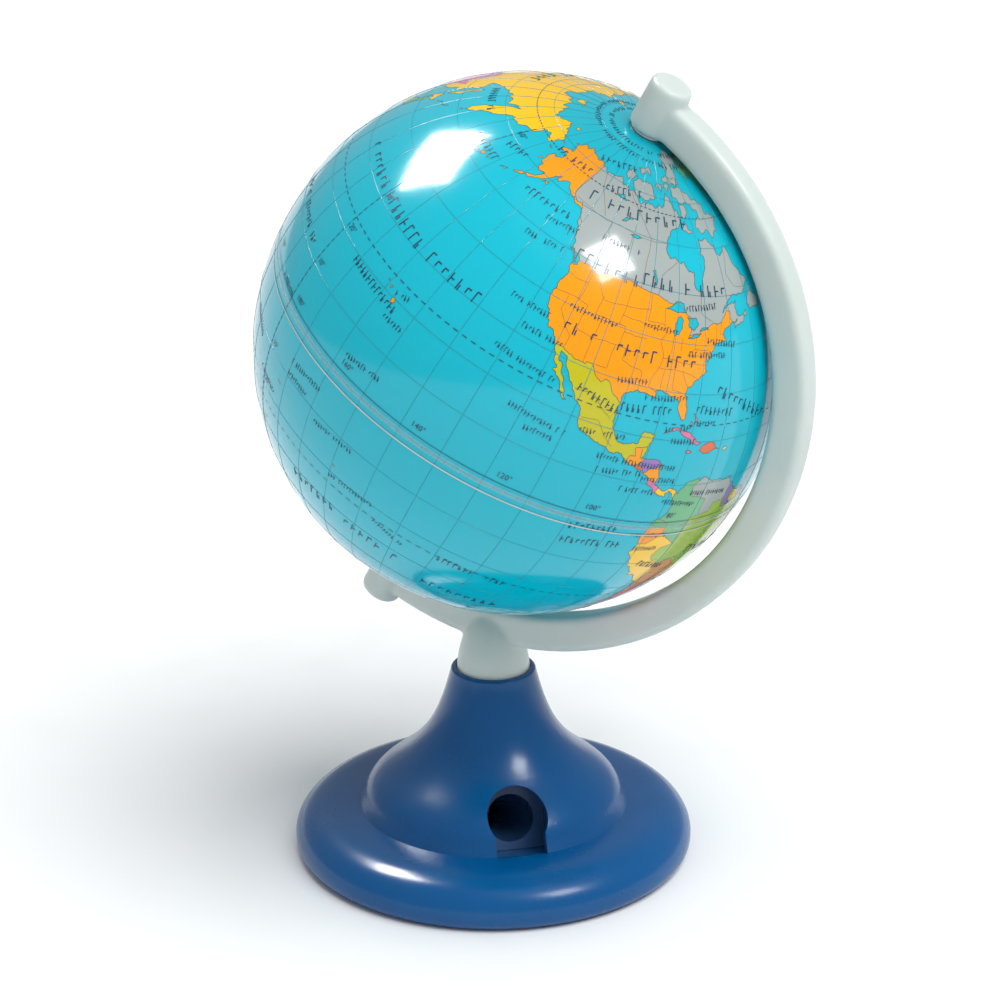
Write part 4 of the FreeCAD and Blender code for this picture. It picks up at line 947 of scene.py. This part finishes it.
map_ink = moulded("map_ink", shade(44, 72, 96), shade(30, 60, 84), 0.6, 0.2)
dashes = []
for circle in (23.5, -23.5, 66.5, -66.5):
    dashes += [([(step * 2.4, circle), (step * 2.4 + 1.3, circle)], False) for step in range(150)]
dashes += [([(180, step * 1.6), (180, step * 1.6 + 0.9)], False) for step in range(-40, 41)]
finished("dashed_lines", inked(dashes, 0.13 * MM, 0.06 * MM), map_ink, "globe")


def numeral(text, lon, lat, size):
    """Corners and faces of one degree number, laid on the ball with its middle at a place."""
    letters = bpy.data.curves.new("numeral", "FONT")
    letters.body = text
    letters.size = size
    letters.align_x = "CENTER"
    letters.align_y = "CENTER"
    letters.resolution_u = 2
    source = bpy.data.objects.new("numeral", letters)
    bpy.context.scene.collection.objects.link(source)
    mesh = bpy.data.meshes.new_from_object(source.evaluated_get(bpy.context.evaluated_depsgraph_get()))
    degrees = math.degrees(1 / BALL_R)
    spread = degrees / math.cos(math.radians(lat))
    corners = [on_ball(lon + vert.co.x * spread, lat + vert.co.y * degrees, 0.07 * MM)
               for vert in mesh.vertices]
    faces = [tuple(face.vertices) for face in mesh.polygons]
    bpy.data.objects.remove(source)
    bpy.data.meshes.remove(mesh)
    return corners, faces


numerals = [(str(abs(lon)) + "°", lon + 3.5, 2.2, 1.35 * MM) for lon in range(-160, 181, 20)]
for lat in (-60, -50, -40, -30, -20, -10, 10, 20, 30, 40, 50, 60):
    numerals += [(str(abs(lat)) + "°", meridian, lat + 1.6, 1.35 * MM) for meridian in (-178, -28)]
number_corners, number_faces = [], []
for given_numeral in numerals:
    corners, faces = numeral(*given_numeral)
    number_faces += [tuple(v + len(number_corners) for v in face) for face in faces]
    number_corners += corners
number_mesh = bpy.data.meshes.new("degree_numbers")
number_mesh.from_pydata(number_corners, [], number_faces)
number_mesh.transform(to_ball)
finished("degree_numbers", number_mesh, map_ink, "globe")

# Where the rows of strokes run: longitude latitude of both ends. Large, middle and small ones.
LARGE_ROWS = """157 32 177 32 / -179 32 -162 31 / -157 31 -142 31 / -164 -32 -148 -31 / -143 -32 -126
    -33 / -121 -37 -99 -36 / -138 63 -87 65 / -126 50 -106 50 / -103 51 -72 51 / -120 36 -84 36 / -74
    31 -56 24 / -40 30 -30 8 / -34 -12 -12 -28 / 62 -10 92 -22 / 75 62 125 62 / 85 34 112 34 / -62 -8
    -44 -10 / 5 20 35 16 / 121 -26 146 -26 / -40 -40 10 -44 / 60 -45 110 -45 / -52 72 -32 72"""
MIDDLE_ROWS = """-171 19 -154 18 / -154 55 -136 56 / -163 67 -143 68 / -130 67 -112 69 / -111 26 -101
    24 / -100 25 -88 26 / -144 73 -120 75 / 174 54 -170 54 / -178 58 -165 60 / -80 27 -69 26 / -99 -1
    -89 0 / -119 -24 -103 -24 / -99 -5 -86 -4 / 143 57 160 57 / -76 -10 -68 -12 / -68 -36 -60 -38 / 72
    48 88 48 / 98 46 112 46 / 74 24 86 22 / 40 24 50 22 / 20 -4 30 -4 / 12 28 22 28 / -6 40 4 40 / 130
    -50 160 -52 / 150 12 175 12 / -70 -56 -50 -60"""
SMALL_ROWS = """-157 21 -153 22 / -156 16 -151 16 / -136 36 -125 36 / -129 32 -119 32 / -132 26 -117 25
    / -123 17 -110 16 / -118 14 -112 14 / -143 48 -131 49 / -141 53 -130 54 / -158 4 -149 5 / -121 56
    -107 56 / -121 40 -108 40 / -100 42 -90 42 / -79 41 -69 40 / -85 38 -73 38 / -103 30 -96 31 / -95
    28 -84 29 / -107 18 -97 19 / -87 47 -76 48 / -89 22 -81 23 / -85 20 -79 20 / -80 24 -74 24 / -101
    14 -92 14 / -100 11 -90 12 / -91 14 -82 14 / -89 11 -80 11 / -93 8 -85 8 / -81 6 -72 5 / -74 8 -63
    7 / -84 -1 -75 -1 / -81 -5 -75 -5 / -136 -24 -128 -26 / -170 -6 -160 -5 / -180 82 -60 82 / -60 82
    60 82 / 60 82 180 82 / -170 79 -60 79 / 60 79 180 79 / -170 -9 -163 -9 / -158 -12 -147 -11 / -150
    -21 -138 -20 / 172 1 180 1 / 166 -10 174 -12 / 178 -17 186 -18"""


def laid_rows(text):
    """A mesh of bare edges along rows of places, a little above the ball."""
    spots, edges = [], []
    for row in text.split("/"):
        (lon, lat), (far_lon, far_lat) = outline(row)
        wide = (far_lon - lon + 180) % 360 - 180
        for step in range(9):
            share = step / 8
            if step:
                edges.append((len(spots) - 1, len(spots)))
            spots.append(on_ball(lon + wide * share, lat + (far_lat - lat) * share, 0.05 * MM))
    mesh = bpy.data.meshes.new("rows")
    mesh.from_pydata(spots, edges, [])
    return mesh


STROKE_T = 0.03 * MM


def strokes_tree():
    """Tree: small letter-like strokes set upright along each edge line, with gaps between words."""
    tree, add, given = new_tree(
        "name_strokes", "GeometryNodeTree",
        (("Geometry", "Geometry", None), ("Pitch", "Float", 0.6 * MM), ("Letter height", "Float", 0.7 * MM),
         ("Stroke width", "Float", 0.09 * MM), ("Gaps", "Float", 0.12), ("Seed", "Int", 4),
         ("Ink", "Material", None)), (("Geometry", "Geometry"),))
    line = add("GeometryNodeMeshToCurve", None, {0: given["Geometry"]})
    spots = add("GeometryNodeCurveToPoints", None, {0: line.outputs[0], "Length": given["Pitch"]},
                mode="LENGTH")
    gap = add("FunctionNodeRandomValue", None, {"Probability": given["Gaps"], "Seed": given["Seed"]},
              data_type="BOOLEAN")
    kept = add("GeometryNodeDeleteGeometry", None, {0: spots.outputs[0], 1: gap.outputs[3]}, domain="POINT")
    place = add("GeometryNodeInputPosition")
    facing = add("FunctionNodeAxesToRotation", None,
                 {0: place.outputs[0], 1: spots.outputs["Tangent"]}, primary_axis="Z", secondary_axis="X")

    def part_of(socket, share):
        """A share of one of the tree's lengths."""
        return add("ShaderNodeMath", {1: share}, {0: given[socket]}, operation="MULTIPLY").outputs[0]

    def stroke(width, height):
        """One thin flat box."""
        size = add("ShaderNodeCombineXYZ", {"Z": STROKE_T}, {"X": width, "Y": height})
        return add("GeometryNodeMeshCube", None, {"Size": size.outputs[0]})

    post = stroke(given["Stroke width"], given["Letter height"])
    bar = stroke(part_of("Pitch", 0.5), given["Stroke width"])
    stub = stroke(given["Stroke width"], part_of("Letter height", 0.5))
    letters = add("GeometryNodeJoinGeometry")
    shapes = ((post, bar, 0.5), (post, bar, 0.0), (post, stub, -0.25), (stub, bar, 0.25))
    for first, second, lift in shapes:
        beside = add("ShaderNodeCombineXYZ", None,
                     {"X": part_of("Pitch", 0.25), "Y": part_of("Letter height", lift)})
        moved = add("GeometryNodeTransform", None, {0: second.outputs[0], "Translation": beside.outputs[0]})
        letter = add("GeometryNodeJoinGeometry")
        tree.links.new(first.outputs[0], letter.inputs[0])
        tree.links.new(moved.outputs[0], letter.inputs[0])
        one = add("GeometryNodeGeometryToInstance", None, {0: letter.outputs[0]})
        tree.links.new(one.outputs[0], letters.inputs[0])
    pick = add("FunctionNodeRandomValue", None, {"Seed": given["Seed"]}, data_type="INT")
    pick.inputs[4].default_value = 0
    pick.inputs[5].default_value = len(shapes) - 1
    row = add("GeometryNodeInstanceOnPoints", {"Pick Instance": True},
              {"Points": kept.outputs[0], "Instance": letters.outputs[0], "Instance Index": pick.outputs[2],
               "Rotation": facing.outputs[0]})
    solid = add("GeometryNodeRealizeInstances", None, {0: row.outputs[0]})
    inky = add("GeometryNodeSetMaterial", None, {"Geometry": solid.outputs[0], "Material": given["Ink"]})
    add("NodeGroupOutput", None, {"Geometry": inky.outputs[0]})
    return tree


strokes = strokes_tree()
for name, rows, pitch, height, width, gaps, seed in (
        ("large_names", LARGE_ROWS, 1.4, 1.75, 0.2, 0.12, 11),
        ("middle_names", MIDDLE_ROWS, 0.85, 1.2, 0.15, 0.1, 12),
        ("small_names", SMALL_ROWS, 0.54, 0.85, 0.11, 0.08, 13)):
    names_mesh = grown(name, strokes, laid_rows(rows), Pitch=pitch * MM, Letter_height=height * MM,
                       Stroke_width=width * MM, Gaps=gaps, Seed=seed, Ink=map_ink)
    names_mesh.transform(to_ball)
    finished(name, names_mesh, None, "globe")



# ---- equator: closing tape and joining sleeve, pole eyelets ----
# A narrow pale tape closes the joint between the halves; a white sleeve glued inside holds them.
# White nylon eyelets line the two pole holes and run on the pins.

tape_clear = moulded("seam_tape", shade(214, 226, 226), shade(170, 196, 200), 0.7, 0.25, cloud_size=500,
                     Alpha=0.22)
seam_pale = moulded("seam_line", shade(206, 214, 212), shade(150, 176, 180), 0.7, 0.3, cloud_size=500)
white_nylon = moulded("white_nylon", shade(222, 226, 222), shade(196, 202, 198), 0.5, 0.4,
                      Subsurface_Weight=0.1, Subsurface_Scale=1.0 * MM)
finished("seam_closing", smooth_copy("equator_tape"), tape_clear, "globe", "equator_tape", slot="seam_tape")
joint_line = [(lon, -0.85) for lon in range(0, 360, 2)]
print_edge = [(lon, 0.35) for lon in range(0, 360, 2)]
finished("joint_line", inked([(joint_line, True)], 0.24 * MM, 0.1 * MM), seam_pale, "globe")
finished("print_edge_line", inked([(print_edge, True)], 0.1 * MM, 0.1 * MM), map_ink, "globe")
finished("joining_sleeve", smooth_copy("equator_sleeve"), white_nylon, "globe", "equator_sleeve",
         slot="sleeve_white")
for node in ("pole_bush_north", "pole_bush_south"):
    finished(node + "_eyelet", smooth_copy(node), white_nylon, "globe", node, slot="bush_white")


# ---- studio ----
# A plain pale floor, a bright surround, a broad high light from the front right, and two soft boxes
# that show in the gloss: one behind on the left, one in front on the right.

floor_mesh = bpy.data.meshes.new("floor")
floor_reach = 4.0
floor_mesh.from_pydata([(-floor_reach, -floor_reach, 0), (floor_reach, -floor_reach, 0),
                        (floor_reach, floor_reach, 0), (-floor_reach, floor_reach, 0)], [], [(0, 1, 2, 3)])
floor = bpy.data.objects.new("floor", floor_mesh)
bpy.context.scene.collection.objects.link(floor)
floor_pale = moulded("floor_pale", shade(238, 239, 240), shade(234, 236, 238), 0.3, 0.6)
floor_mesh.materials.append(floor_pale)


def soft_box(name, towards, reach, width, height, power, unseen_by=None):
    """A rectangular lamp that faces the ball from a direction, left out of one kind of light if asked."""
    lamp = bpy.data.lights.new(name, "AREA")
    lamp.shape = "RECTANGLE"
    lamp.size = width
    lamp.size_y = height
    lamp.energy = power
    holder = bpy.data.objects.new(name, lamp)
    bpy.context.scene.collection.objects.link(holder)
    direction = Vector(towards).normalized()
    holder.location = ball_centre + direction * reach
    holder.rotation_euler = direction.to_track_quat("Z", "Y").to_euler()
    if unseen_by:
        setattr(holder, unseen_by, False)


soft_box("back_left_glint", (-0.343, 0.396, 0.852), 0.62, 0.28, 0.2, 9.0, "visible_diffuse")
soft_box("front_right_glint", (0.424, -0.571, 0.703), 0.75, 0.21, 0.19, 2.6, "visible_diffuse")

high = bpy.data.lights.new("high_soft_light", "SUN")
high.energy = 3.0
high.angle = math.radians(50)
high_holder = bpy.data.objects.new("high_soft_light", high)
bpy.context.scene.collection.objects.link(high_holder)
high_holder.rotation_euler = Vector((0.28, -0.34, 0.95)).to_track_quat("Z", "Y").to_euler()
high_holder.visible_glossy = False

world = bpy.data.worlds.new("bright_room")
bpy.context.scene.world = world
world.use_nodes = True
world.node_tree.nodes["Background"].inputs["Color"].default_value = (1.0, 1.0, 1.0, 1.0)
world.node_tree.nodes["Background"].inputs["Strength"].default_value = 0.42
bpy.context.scene.view_settings.view_transform = "Standard"

lens = bpy.data.cameras.new("photo_camera")
lens.lens = 126
camera = bpy.data.objects.new("photo_camera", lens)
bpy.context.scene.collection.objects.link(camera)
camera.location = (-113.05 * MM, -519.33 * MM, 265.84 * MM)
camera.rotation_euler = (math.radians(69), 0, math.radians(-12.4))
bpy.context.scene.camera = camera
